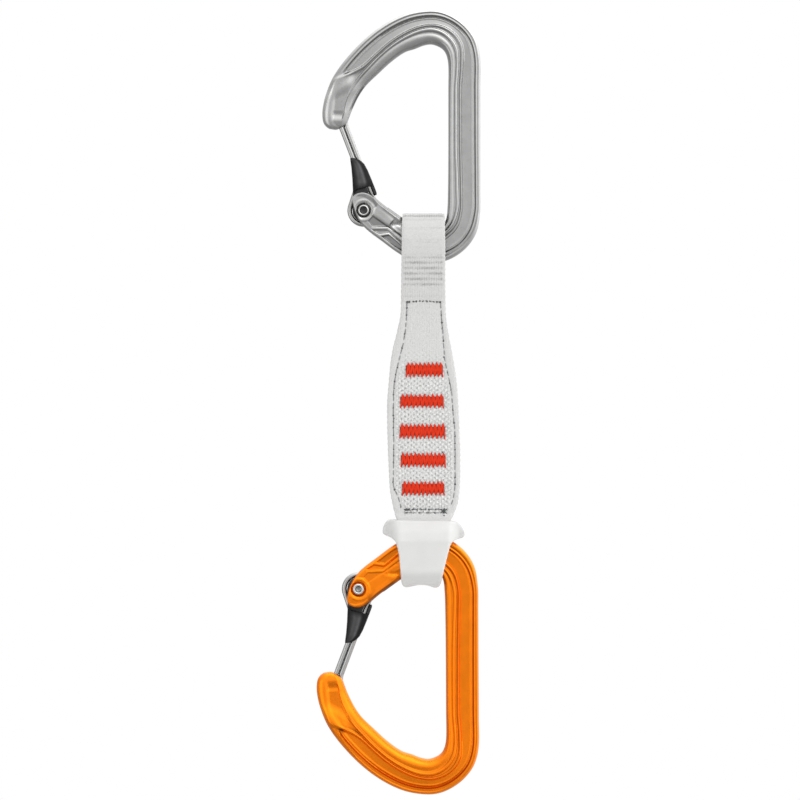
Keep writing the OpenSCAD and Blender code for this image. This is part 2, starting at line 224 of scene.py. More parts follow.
def metal(name, colour, roughness, metallic=1.0, grain_mm=0.22, grain_depth=0.008, painted_relief_light=False):
    """Satin metal; if asked, the mesh's own tone paints light and shade into its colour: painted highlights
    on edges and ridges, painted shade in corners, grooves and on walls away from the light.
    """
    m = Paint(name)
    surface = m.ramp(m.noise(260.0, 4.0), shades(colour, (0.3, 0.95), (0.7, 1.05)))
    # painted light and shade: the mesh's tone lightens edges and ridges and darkens grooves, corners and
    # walls turned from the light
    if painted_relief_light:
        surface = m.scaled(surface, m.math("ADD", m.attribute("tone"), 1.0))
    return m.set(
        base_color=surface,
        roughness=m.remap(m.noise(1400.0, 3.0), roughness * 0.85, roughness * 1.2),
        normal=m.bump(m.noise(1000.0 / grain_mm, 2.0), grain_depth),
        metallic=metallic,
    )


def crease_shaded_metal(name, colour, roughness):
    """Polished round wire, with painted shade in the crease where it meets its own other strand."""
    m = Paint(name)
    crease = m.math("ABSOLUTE", m.math("SUBTRACT", m.axes("UV")[0], 0.5))
    cloud = m.math("MULTIPLY", m.math("SUBTRACT", m.noise(260.0, 4.0), 0.5), 0.012)
    # painted shade: the side of each strand that faces the other strand is darkened
    stops = [*shades(colour, (0.05, 0.24), (0.11, 0.55)), (0.17, colour)]
    return m.set(
        base_color=m.ramp(m.math("ADD", crease, cloud), stops),
        roughness=m.remap(m.noise(1400.0, 3.0), roughness * 0.85, roughness * 1.2),
        metallic=1.0,
    )


def plastic(name, colour, roughness, with_painted_sheen=False):
    """Moulded plastic; if asked, a painted sheen: where the mesh's own tone says, streaks that are lighter
    and more glossy.
    """
    m = Paint(name)
    surface = m.ramp(m.noise(420.0, 3.0), shades(colour, (0.3, 0.8), (0.7, 1.25)))
    if with_painted_sheen:
        # painted sheen: lighter colour and more specular where the tone is high
        sheen_paint = m.attribute("tone")
        surface = m.scaled(surface, m.remap(sheen_paint, 0.5, 2.6, 0.0, 1.0))
        m.set(specular_ior_level=m.remap(sheen_paint, 0.10, 0.75, 0.0, 1.0))
    return m.set(
        base_color=surface,
        roughness=m.remap(m.noise(900.0, 3.0), roughness * 0.85, roughness * 1.25),
        normal=m.bump(m.noise(6000.0, 2.0), 0.006),
        metallic=0.0,
    )


def webbing(name, colour):
    """Woven tape. The mesh says where: cross lines of painted shade in its ribs and creases, fine ticks along
    the length, a broken twill.
    """
    m = Paint(name)
    u, v, _ = m.axes("UV")

    def wave(value, period, shift):
        return m.math("SINE", m.math("ADD", m.math("MULTIPLY", value, 2 * math.pi / period), shift))

    drift = m.math("MULTIPLY", m.math("SUBTRACT", m.noise(420.0, 2.0), 0.5), 4.0)
    slant = wave(u, 1.1, m.math("MULTIPLY", drift, 2.2))
    twill = m.math("MULTIPLY", wave(u, 2.1, drift), wave(v, 1.7, drift))
    twill = m.math("ADD", m.math("MULTIPLY", twill, 0.75), m.math("MULTIPLY", slant, 0.35))
    ticks = m.math("MULTIPLY", wave(u, 0.62, drift), m.noise(900.0, 2.0))
    weave = m.attribute("weave")
    grit = m.math("SUBTRACT", m.noise(2300.0, 4.0), 0.5)
    pattern = m.math("MULTIPLY", twill, m.math("MULTIPLY", weave, 0.34))
    pattern = m.math("MULTIPLY_ADD", ticks, m.math("MULTIPLY", m.attribute("ticks"), 0.24), pattern)
    pattern = m.math("MULTIPLY_ADD", grit, m.math("MULTIPLY_ADD", weave, 1.3, 0.7), pattern)
    # painted shade: the line attribute darkens the ribs, creases and the lines across the loop's top
    tone = m.math("MULTIPLY_ADD", m.attribute("line"), -0.55, m.math("ADD", pattern, 0.5))
    return m.set(
        base_color=m.ramp(tone, shades(colour, (0.0, 0.46), (0.42, 0.96), (0.6, 1.04), (1.0, 1.40))),
        roughness=0.9,
        normal=m.bump(pattern, 0.10),
        sheen_weight=0.15,
        sheen_roughness=0.5,
        specular_ior_level=0.2,
    )


def thread(name, colour):
    """Twisted thread, with painted shade on its sides."""
    m = Paint(name)
    u, v, _ = m.axes("UV")
    around = m.math("MULTIPLY", u, 2 * math.pi)
    # painted shade: darker where the thread's surface turns to its sides
    front = m.math("MULTIPLY", m.math("ABSOLUTE", m.math("SINE", around)), 0.7)
    twist = m.math("SINE", m.math("MULTIPLY_ADD", v, 2 * math.pi / THREAD_TWIST, around))
    light = m.math("MULTIPLY_ADD", m.noise(1300.0, 3.0), 0.6, front)
    return m.set(
        base_color=m.ramp(light, shades(colour, (0.25, 0.22), (0.68, 0.85), (1.0, 1.25))),
        roughness=0.75,
        normal=m.bump(twist, 0.03),
        sheen_weight=0.0,
        specular_ior_level=0.2,
    )


def rubber(name, colour):
    """Milky rubber, darker towards the hem and the ears' tips."""
    m = Paint(name)
    x, _, z = m.axes("Object")
    hem = m.remap(z, 0.84, 1.0, -0.1915, -0.1885)
    ears = m.remap(m.math("ABSOLUTE", m.math("ADD", x, 0.0022)), 1.0, 0.80, 0.0095, 0.0135)
    cloud = m.remap(m.noise(120.0, 3.0), 0.97, 1.03)
    tone = m.math("MULTIPLY", m.math("MULTIPLY", hem, ears), cloud)
    return m.set(
        base_color=m.ramp(tone, [(0.0, (0.0, 0.0, 0.0)), (1.0, colour)]),
        roughness=m.remap(m.noise(700.0, 3.0), 0.38, 0.52),
        normal=m.bump(m.noise(3000.0, 2.0), 0.006),
        subsurface_weight=0.4,
        subsurface_scale=0.002,
        subsurface_radius=(1.0, 1.0, 1.0),
        specular_ior_level=0.35,
    )


silver = metal("satin_silver", (0.39, 0.393, 0.387), 0.32, painted_relief_light=True)
orange = metal("orange_anodised", (0.80, 0.190, 0.004), 0.34, metallic=0.90, painted_relief_light=True)
steel = metal("stainless_wire", (0.54, 0.54, 0.53), 0.22, grain_mm=0.6, grain_depth=0.0008)
wire_steel = crease_shaded_metal("stainless_wire_strands", (0.40, 0.40, 0.395), 0.26)
# darker copies of the steel: painted shade at the bottom of the rivets' dimples
deep_shade_steel = metal("socket_shadow", (0.05, 0.05, 0.05), 0.30, grain_mm=0.4, grain_depth=0.001)
half_shade_steel = metal("dimple_shadow", (0.26, 0.26, 0.26), 0.30, grain_mm=0.4, grain_depth=0.001)
rivet_steel = metal("stainless_rivet", (0.58, 0.58, 0.57), 0.22, grain_mm=0.4, grain_depth=0.001)
black = plastic("black_moulded_nylon", (0.015, 0.015, 0.016), 0.34, with_painted_sheen=True)
# a blacker, matt copy of the nylon: painted shade for the tongue under the hood
shadow_black = plastic("black_nylon_matt_painted_shade", (0.004, 0.004, 0.004), 0.55)
tape_white = webbing("white_webbing", (0.43, 0.43, 0.425))
core_white = webbing("inner_webbing", (0.42, 0.42, 0.415))
red_thread = thread("red_tack_thread", (0.45, 0.020, 0.003))
# a darker copy of the red thread: painted shade on the underlay between the zigzag passes
shaded_red_underlay = thread("red_tack_underlay", (0.26, 0.010, 0.004))
grey_thread = thread("grey_edge_thread", (0.16, 0.165, 0.165))
dark_thread = thread("dark_knots", (0.065, 0.067, 0.067))
clear_rubber = rubber("translucent_rubber", (0.485, 0.485, 0.48))

# ---------------------------------------------------------------- mesh helpers


def new_mesh(name, points_mm, faces, material, uv=None, smooth=True):
    """A mesh object from points in millimetres, its faces turned outward; uv holds one pair a point."""
    mesh = bpy.data.meshes.new(name)
    mesh.from_pydata((np.asarray(points_mm, float) * MM).tolist(), [], faces)
    mesh.polygons.foreach_set("use_smooth", [smooth] * len(mesh.polygons))
    if uv is not None:
        layer = mesh.uv_layers.new(name="UVMap")
        corners = np.zeros(len(mesh.loops), np.int32)
        mesh.loops.foreach_get("vertex_index", corners)
        layer.data.foreach_set("uv", np.asarray(uv, np.float32)[corners].ravel())
    mesh.materials.append(material)
    mesh.update()
    bm = bmesh.new()
    bm.from_mesh(mesh)
    bmesh.ops.recalc_face_normals(bm, faces=bm.faces)
    bm.to_mesh(mesh)
    bm.free()
    obj = bpy.data.objects.new(name, mesh)
    bpy.context.scene.collection.objects.link(obj)
    return obj


def repaint(obj, material):
    obj.data.materials.clear()
    obj.data.materials.append(material)


def crisp(obj, degrees):
    """Edges sharper than an angle are shaded as edges."""
    obj.data.set_sharp_from_angle(angle=math.radians(degrees))


def mark(obj, name, values):
    """One number for each point, which the material reads."""
    layer = obj.data.attributes.new(name, "FLOAT", "POINT")
    layer.data.foreach_set("value", np.asarray(values, np.float32).ravel())


def grid_faces(rings, across, closed=False):
    """Quads between rings of points, numbered ring by ring."""
    faces = []
    for i in range(rings if closed else rings - 1):
        a, b = i * across, (i + 1) % rings * across
        for j in range(across):
            k = (j + 1) % across
            faces.append((a + j, a + k, b + k, b + j))
    return faces


def loft(rings, step=1):
    """Points and faces through rings of points; step is the direction of the first end's face."""
    count, across = len(rings), len(rings[0])
    first = tuple(range(across))[::step]
    last = tuple(range((count - 1) * across, count * across))[::-step]
    return np.vstack(rings), grid_faces(count, across) + [first, last]


def build(name, shapes, material, sharp_deg=None):
    """One mesh from several closed shapes, each with its points, its faces and, for threads, its uv."""
    faces, count = [], 0
    for shape in shapes:
        faces += [tuple(k + count for k in face) for face in shape[1]]
        count += len(shape[0])
    uv = [shape[2] if len(shape) > 2 else np.zeros((len(shape[0]), 2)) for shape in shapes]
    obj = new_mesh(name, np.vstack([shape[0] for shape in shapes]), faces, material, np.vstack(uv))
    if sharp_deg is not None:
        crisp(obj, sharp_deg)
    return obj


def move(obj, matrix):
    obj.data.transform(matrix)
    obj.data.update()


def finish_piece(obj, body, slot, *nodes):
    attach(obj, body)
    if nodes:
        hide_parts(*nodes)


def rise(x, low, high):
    """From 0 at low to 1 at high, with soft ends."""
    u = np.clip((x - low) / (high - low), 0, 1)
    return u * u * (3 - 2 * u)


def fall(x, low, high):
    return 1 - rise(x, low, high)


def band(x, start, full, leaving, end):
    """1 between full and leaving, and 0 before start and after end."""
    return rise(x, start, full) * fall(x, leaving, end)


def groove(s, centre, half):
    """A soft bump of 1 at the centre and 0 beyond half a width."""
    x = np.clip(np.abs(s - centre) / half, 0, 1)
    return 0.5 * (1 + np.cos(math.pi * x))


def step_at(s, centre, half):
    return rise(s, centre - half, centre + half)


def smooth_min(a, b, k):
    h = np.clip(0.5 + 0.5 * (b - a) / k, 0, 1)
    return b * (1 - h) + a * h - k * h * (1 - h)


def line_distance(x, z, points):
    """Distance to an open polyline."""
    best = np.full(np.shape(x), 1e9)
    for (ax, az), (bx, bz) in zip(points[:-1], points[1:]):
        ex, ez = bx - ax, bz - az
        t = np.clip(((x - ax) * ex + (z - az) * ez) / (ex * ex + ez * ez), 0, 1)
        best = np.minimum(best, np.hypot(x - ax - t * ex, z - az - t * ez))
    return best


def polygon_distance(x, z, polygon):
    """Signed distance to a polygon, negative inside."""
    closed = [*polygon, polygon[0]]
    inside = np.zeros(x.shape, bool)
    for (ax, az), (bx, bz) in zip(closed[:-1], closed[1:]):
        if az != bz:
            inside ^= ((az > z) != (bz > z)) & (x < (bx - ax) * (z - az) / (bz - az) + ax)
    distance = line_distance(x, z, closed)
    return np.where(inside, -distance, distance)


def side_of_line(x, z, a, b):
    """Distance to the left of the line from a to b."""
    ex, ez = b[0] - a[0], b[1] - a[1]
    return (ex * (z - a[1]) - ez * (x - a[0])) / math.hypot(ex, ez)


def lengths(path):
    """Length along a path up to each of its points."""
    return np.concatenate([[0], np.cumsum(np.linalg.norm(np.diff(path, axis=0), axis=1))])


def resample(points, step, closed=False):
    """Points a given step apart along a polyline, with their lengths along it."""
    p = np.asarray(points, float)
    if closed:
        p = np.vstack([p, p[:1]])
    length = lengths(p)
    count = max(2, int(round(length[-1] / step)))
    at = np.linspace(0, length[-1], count + 1)
    if closed:
        at = at[:-1]
    return np.stack([np.interp(at, length, column) for column in p.T], axis=1), at


def soften(points, passes, closed=True):
    p = np.asarray(points, float).copy()
    for _ in range(passes):
        if closed:
            p = 0.5 * p + 0.25 * (np.roll(p, 1, axis=0) + np.roll(p, -1, axis=0))
        else:
            p[1:-1] = 0.5 * p[1:-1] + 0.25 * (p[:-2] + p[2:])
    return p


def tube(path, radius, sides, flat=1.0, taper=1.0):
    """Points, faces and uv of a tube along a path in millimetres; flat shortens it along Y."""
    path = np.asarray(path, float)
    n = len(path)
    tangent = np.gradient(path, axis=0)
    tangent /= np.linalg.norm(tangent, axis=1)[:, None] + 1e-12
    side = np.cross(tangent, (0.0, 1.0, 0.0))
    side /= np.linalg.norm(side, axis=1)[:, None] + 1e-12
    up = np.cross(side, tangent)
    angle = np.linspace(0, 2 * math.pi, sides, endpoint=False)
    across, over = np.cos(angle)[None, :, None], flat * np.sin(angle)[None, :, None]
    size = (np.ones(n) * radius * taper)[:, None, None]
    rings = path[:, None, :] + size * across * side[:, None, :] + size * over * up[:, None, :]
    uv = np.stack([np.tile(angle / (2 * math.pi), n), np.repeat(lengths(path), sides)], axis=1)
    return *loft(rings, -1), uv


def apply_modifiers(obj):
    graph = bpy.context.evaluated_depsgraph_get()
    mesh = bpy.data.meshes.new_from_object(obj.evaluated_get(graph))
    obj.modifiers.clear()
    obj.data = mesh


def cut(obj, *cutters):
    for cutter in cutters:
        modifier = obj.modifiers.new("cut", "BOOLEAN")
        modifier.operation = "DIFFERENCE"
        modifier.solver = "EXACT"
        modifier.object = cutter
        apply_modifiers(obj)
    for cutter in cutters:
        bpy.data.objects.remove(cutter)


def prism(outline, half, axis="y"):
    """A closed prism of a 2-D outline, half its depth each side of the mid-plane."""
    n = len(outline)
    points = [(a, y, b) if axis == "y" else (y, a, b) for y in (-half, half) for a, b in outline]
    faces = [(j, (j + 1) % n, n + (j + 1) % n, n + j) for j in range(n)]
    faces += [tuple(range(n)), tuple(range(2 * n - 1, n - 1, -1))]
    return new_mesh("cutter", points, faces, silver, smooth=False)


def arc(x, z, r, start, end, count):
    angles = np.radians(np.linspace(start, end, count))
    return [(x + r * math.cos(a), z + r * math.sin(a)) for a in angles]


# ---------------------------------------------------------------- forged frame

# Outer x, outer z, inner x, inner z, half thickness, from the nose over the top bend to the hinge
STATIONS = np.array([
    [-34.4, -30.7, -33.2, -30.6, 1.5], [-36.4, -30.3, -31.5, -29.8, 2.5], [-38.1, -28.7, -29.9, -28.4, 3.1],
    [-38.7, -26.4, -29.1, -26.4, 3.4], [-38.6, -23.0, -27.8, -23.0, 3.5], [-37.5, -18.2, -25.7, -18.7, 3.6],
    [-34.9, -11.9, -23.0, -14.8, 3.8], [-30.0, -5.0, -18.9, -10.8, 4.0], [-23.0, 2.2, -14.0, -6.3, 4.1],
    [-15.8, 7.5, -9.2, -2.9, 4.2], [-8.6, 10.9, -5.4, -1.6, 4.3], [-2.2, 12.2, -2.3, -0.4, 4.3],
    [3.2, 12.1, 0.5, 0.0, 4.3], [8.3, 10.2, 3.1, -0.8, 4.2], [13.0, 6.7, 4.9, -2.1, 4.1],
    [16.4, 2.0, 6.0, -4.1, 3.9], [18.0, -4.3, 6.6, -7.6, 3.7], [18.1, -15.0, 6.6, -16.6, 3.5],
    [18.1, -38.0, 6.6, -38.0, 3.5], [18.1, -52.6, 6.5, -51.8, 3.5], [18.0, -60.5, 6.3, -58.7, 3.5],
    [16.7, -67.7, 5.7, -63.2, 3.5], [13.0, -73.3, 3.6, -65.9, 3.4], [7.2, -77.3, 0.9, -67.2, 3.4],
    [0.4, -78.8, -1.8, -67.3, 3.4], [-5.4, -78.0, -4.1, -66.4, 3.4], [-10.8, -75.5, -7.2, -64.3, 3.4],
    [-17.6, -70.6, -12.2, -60.8, 3.6], [-22.6, -66.8, -16.9, -57.4, 3.8], [-25.4, -63.7, -20.0, -54.9, 3.9],
    [-27.0, -60.7, -22.1, -53.6, 3.9], [-27.7, -58.0, -23.9, -53.2, 3.8], [-28.0, -56.3, -25.7, -53.5, 3.4],
    [-27.7, -54.9, -26.9, -54.0, 2.4],
])
# Station, then distances from the outer edge to the lines of the relief: the rim's fine groove, the
# channel's outer wall, its fillet, its inner wall, the ridge's drop, the inner bead's two sides, the land
RELIEF = np.array([
    [0.0, 1.3, 2.3, 3.5, 6.0, 6.9, 7.5, 8.1, 9.3], [4.0, 1.3, 2.3, 3.5, 5.8, 6.8, 7.4, 8.0, 9.2],
    [5.5, 1.2, 2.4, 3.6, 6.2, 7.1, 7.9, 8.7, 9.6], [7.0, 1.2, 2.4, 3.7, 6.7, 7.5, 8.1, 8.9, 9.6],
    [8.0, 1.2, 2.4, 3.7, 6.6, 7.4, 7.9, 8.6, 9.3], [9.0, 1.2, 2.4, 3.7, 6.3, 7.0, 7.6, 8.4, 9.2],
    [10.0, 1.2, 2.35, 3.6, 6.0, 6.7, 7.3, 8.3, 9.3], [11.0, 1.15, 2.3, 3.5, 5.5, 6.15, 6.8, 7.9, 9.2],
    [12.0, 1.2, 2.35, 3.5, 5.3, 6.1, 6.8, 7.95, 9.3], [13.0, 1.1, 2.15, 3.3, 5.0, 5.85, 6.9, 7.9, 9.3],
    [14.0, 1.1, 2.1, 3.3, 5.0, 6.0, 7.2, 8.3, 9.5], [15.0, 1.1, 2.1, 3.3, 5.5, 6.6, 7.6, 8.8, 9.8],
    [16.0, 0.95, 2.0, 3.2, 6.4, 7.3, 8.1, 9.0, 10.0], [17.0, 0.9, 2.0, 3.1, 6.9, 7.7, 8.5, 9.4, 10.2],
    [18.0, 0.9, 1.9, 3.0, 6.8, 7.5, 8.4, 9.3, 10.3], [19.0, 0.8, 1.8, 2.9, 6.5, 7.2, 7.9, 8.9, 10.2],
    [20.0, 0.8, 1.8, 2.9, 6.5, 7.15, 7.85, 8.8, 10.2], [21.0, 1.4, 2.5, 3.6, 7.0, 7.85, 8.8, 9.7, 10.5],
    [22.0, 1.7, 2.75, 3.8, 7.3, 8.3, 9.1, 9.9, 10.6], [23.0, 1.8, 3.0, 4.0, 7.3, 8.3, 9.1, 9.9, 10.6],
    [26.4, 0.9, 1.6, 2.1, 3.0, 3.8, 4.8, 5.7, 9.2], [33.0, 0.9, 1.6, 2.1, 3.0, 3.8, 4.8, 5.7, 9.2],
])
CORNER = np.array([[0, 2.8], [4, 2.8], [6, 1.9], [8, 1.1], [10, 1.0], [26, 1.0], [28, 0.9], [33, 0.9]])
CORNER_STEPS = 9
# Columns between one line of the relief and the next, across a face
BETWEEN_KNOTS = [6, 5, 6, 12, 5, 5, 5, 7, 3]
COLUMNS = [(k, step / count) for k, count in enumerate(BETWEEN_KNOTS) for step in range(count)][1:-3]
PIVOT = (-23.9, -59.8)
GATE_LEAN = 21.0
WIRE_R = 0.87
RIGHT_STRAND, LEFT_STRAND, SHANK = 4.98, 3.22, 4.1
EYE_Z, EYE_R, EYE_FLARE = 33.0, 1.45, 14.0
STRAND_SPREAD, BEND_R = 39.0, 3.0
HUB_R = 4.07
PIVOT_PLACE = Matrix.Translation(Vector((PIVOT[0], 0, PIVOT[1])) * MM)
GATE_PLACE = PIVOT_PLACE @ Matrix.Rotation(math.radians(-GATE_LEAN), 4, "Y")
LOWER_PLACE = (
    Matrix.Translation(Vector((-0.9, 0, -257.2)) * MM)
    @ Matrix.Rotation(math.radians(-0.3), 4, "Y")
    @ Matrix.Rotation(math.pi, 4, "X")
    @ Matrix.Scale(1.026, 4)
)


def stations_at(t):
    """The table's rows at fractional stations, by a cubic blend along the middle of the bar."""
    middle = (STATIONS[:, 0:2] + STATIONS[:, 2:4]) / 2
    gap = np.linalg.norm(np.diff(middle, axis=0), axis=1)
    slope = np.empty_like(STATIONS)
    slope[0] = (STATIONS[1] - STATIONS[0]) / gap[0]
    slope[-1] = (STATIONS[-1] - STATIONS[-2]) / gap[-1]
    slope[1:-1] = (STATIONS[2:] - STATIONS[:-2]) / (gap[:-1] + gap[1:])[:, None]
    i = np.minimum(t.astype(int), len(STATIONS) - 2)
    u = (t - i)[:, None]
    g = gap[i][:, None]
    return (
        STATIONS[i] * (2 * u**3 - 3 * u**2 + 1)
        + STATIONS[i + 1] * (3 * u**2 - 2 * u**3)
        + slope[i] * g * (u**3 - 2 * u**2 + u)
        + slope[i + 1] * g * (u**3 - u**2)
    )


def station_samples():
    """Fractional stations, closer where the nose and the hinge end carry small relief."""
    fine = np.linspace(0, 33, 6601)
    rows = stations_at(fine)
    spacing = np.where((fine < 8.6) | (fine > 26.0), 0.2, 0.42)
    spacing = np.where((fine < 1.0) | (fine > 32.0), 0.1, spacing)
    step = np.diff(lengths((rows[:, 0:2] + rows[:, 2:4]) / 2), prepend=0)
    position = np.cumsum(step / spacing)
    return np.interp(np.linspace(0, position[-1], int(position[-1]) + 1), position, fine)


def hinge_relief(x, z, with_panel):
    """Raised and sunk details of the hinge end, and their painted light and shade: painted shade in the sunk
    parts, the trough, the floor and the rivet's bore, painted highlights on the ridges, the lines, the wedge
    and the ring round the rivet. One face has a plain panel, lighter, with painted shade round its border.
    """
    depth = 1.0 if with_panel else 0.45
    r = np.hypot(x - PIVOT[0], z - PIVOT[1])
    h = -0.04 * np.clip(-55.0 - z, 0, 13)
    # tone holds painted light and shade: painted shade in the recesses, painted highlights on the ridges and
    # lines
    tone = np.zeros_like(x)

    def within(outline, edge):
        return fall(polygon_distance(x, z, outline), -0.35, edge)

    sunk = within([
        (-22.3, -63.9), (-20.7, -61.7), (-15.0, -65.5), (-9.0, -69.6), (-8.0, -71.0), (-15.2, -65.85),
        (-20.7, -65.65),
    ], 0.1)
    h -= (0.50 + 0.09 * np.clip(-63.5 - z, -2, 3)) * sunk * depth
    tone -= 0.20 * sunk * depth
    trough = [(-21.2, -66.7), (-15.5, -66.7), (-8.0, -72.6), (-8.0, -73.6), (-14.9, -67.9), (-18.3, -68.4)]
    h -= 0.55 * within(trough, 0.15)
    tone -= 0.12 * within(trough, 0.15) * depth
    floor = within([(-17.7, -69.1), (-14.7, -68.6), (-8.0, -74.2), (-8.0, -75.6), (-12.4, -73.0)], 0.1)
    below = np.clip(-side_of_line(x, z, (-14.7, -68.6), (-8.0, -74.2)), 0, 3)
    h -= (0.62 + 0.08 * below) * floor * (0.3 + 0.7 * depth)
    tone -= 0.30 * floor * depth
    upper_ridge = [(-20.9, -66.1), (-15.3, -66.25), (-8.0, -71.9)]
    lower_ridge = [(-18.0, -68.6), (-14.8, -68.15), (-8.0, -73.85)]
    for ridge in (upper_ridge, lower_ridge):
        tone += 0.55 * groove(line_distance(x, z, ridge), 0.0, 0.55)
    if with_panel:
        corners = [(-20.4, -59.4), (-18.9, -58.3), (-13.0, -63.2), (-14.8, -65.6), (-20.8, -61.4)]
        panel = polygon_distance(x, z, corners)
        h += 0.34 * fall(panel, -0.3, 0.2)
        tone += 0.20 * fall(panel, -0.3, 0.1) - 0.34 * groove(panel, 0.35, 0.4)
    wedge = polygon_distance(x, z, [(-14.6, -65.0), (-8.0, -63.6), (-8.0, -66.6)])
    h -= 0.9 * rise(-wedge, -0.5, 1.3)
    tone += 0.9 * rise(-wedge, -0.1, 0.5) * depth
    for line in ([(-13.2, -65.2), (-8.0, -69.0)], [(-13.4, -65.6), (-8.0, -70.2)]):
        distance = line_distance(x, z, line)
        h -= 0.16 * groove(distance, 0.0, 0.4)
        tone += 0.25 * groove(distance, 0.3, 0.35)
    h += 0.22 * fall(np.abs(r - 3.55), 0.25, 0.6)
    tone += 0.30 * groove(r, 3.55, 0.5)
    h -= fall(r, 2.05, 2.8)
    tone -= (0.42 if with_panel else 0.05) * fall(r, 2.3, 2.7)
    return h, tone


def nose_relief(x, z, s, crease):
    """The facet and crest of the nose; crease is where the facet meets the inner chamfer."""
    below = -side_of_line(x, z, (-33.7, -12.5), (-29.0, -10.8))
    h = 0.60 * rise(below, -0.9, 0.4) * fall(below, 0.8, 7.0) * band(x, -37.5, -34.5, -30.0, -27.0)
    left = side_of_line(x, z, (-35.0, -19.0), (-35.5, -24.9))
    top = side_of_line(x, z, (-25.6, -12.9), (-35.0, -19.0))
    bottom = side_of_line(x, z, (-35.5, -24.7), (-31.0, -24.9))
    plane = rise(left, 0.0, 1.2) * rise(top, -1.2, 1.8) * rise(crease - s, -0.05, 0.45)
    return h - (0.40 + 0.32 * fall(bottom, -0.6, 1.0)) * plane * rise(bottom, -3.2, -0.6)


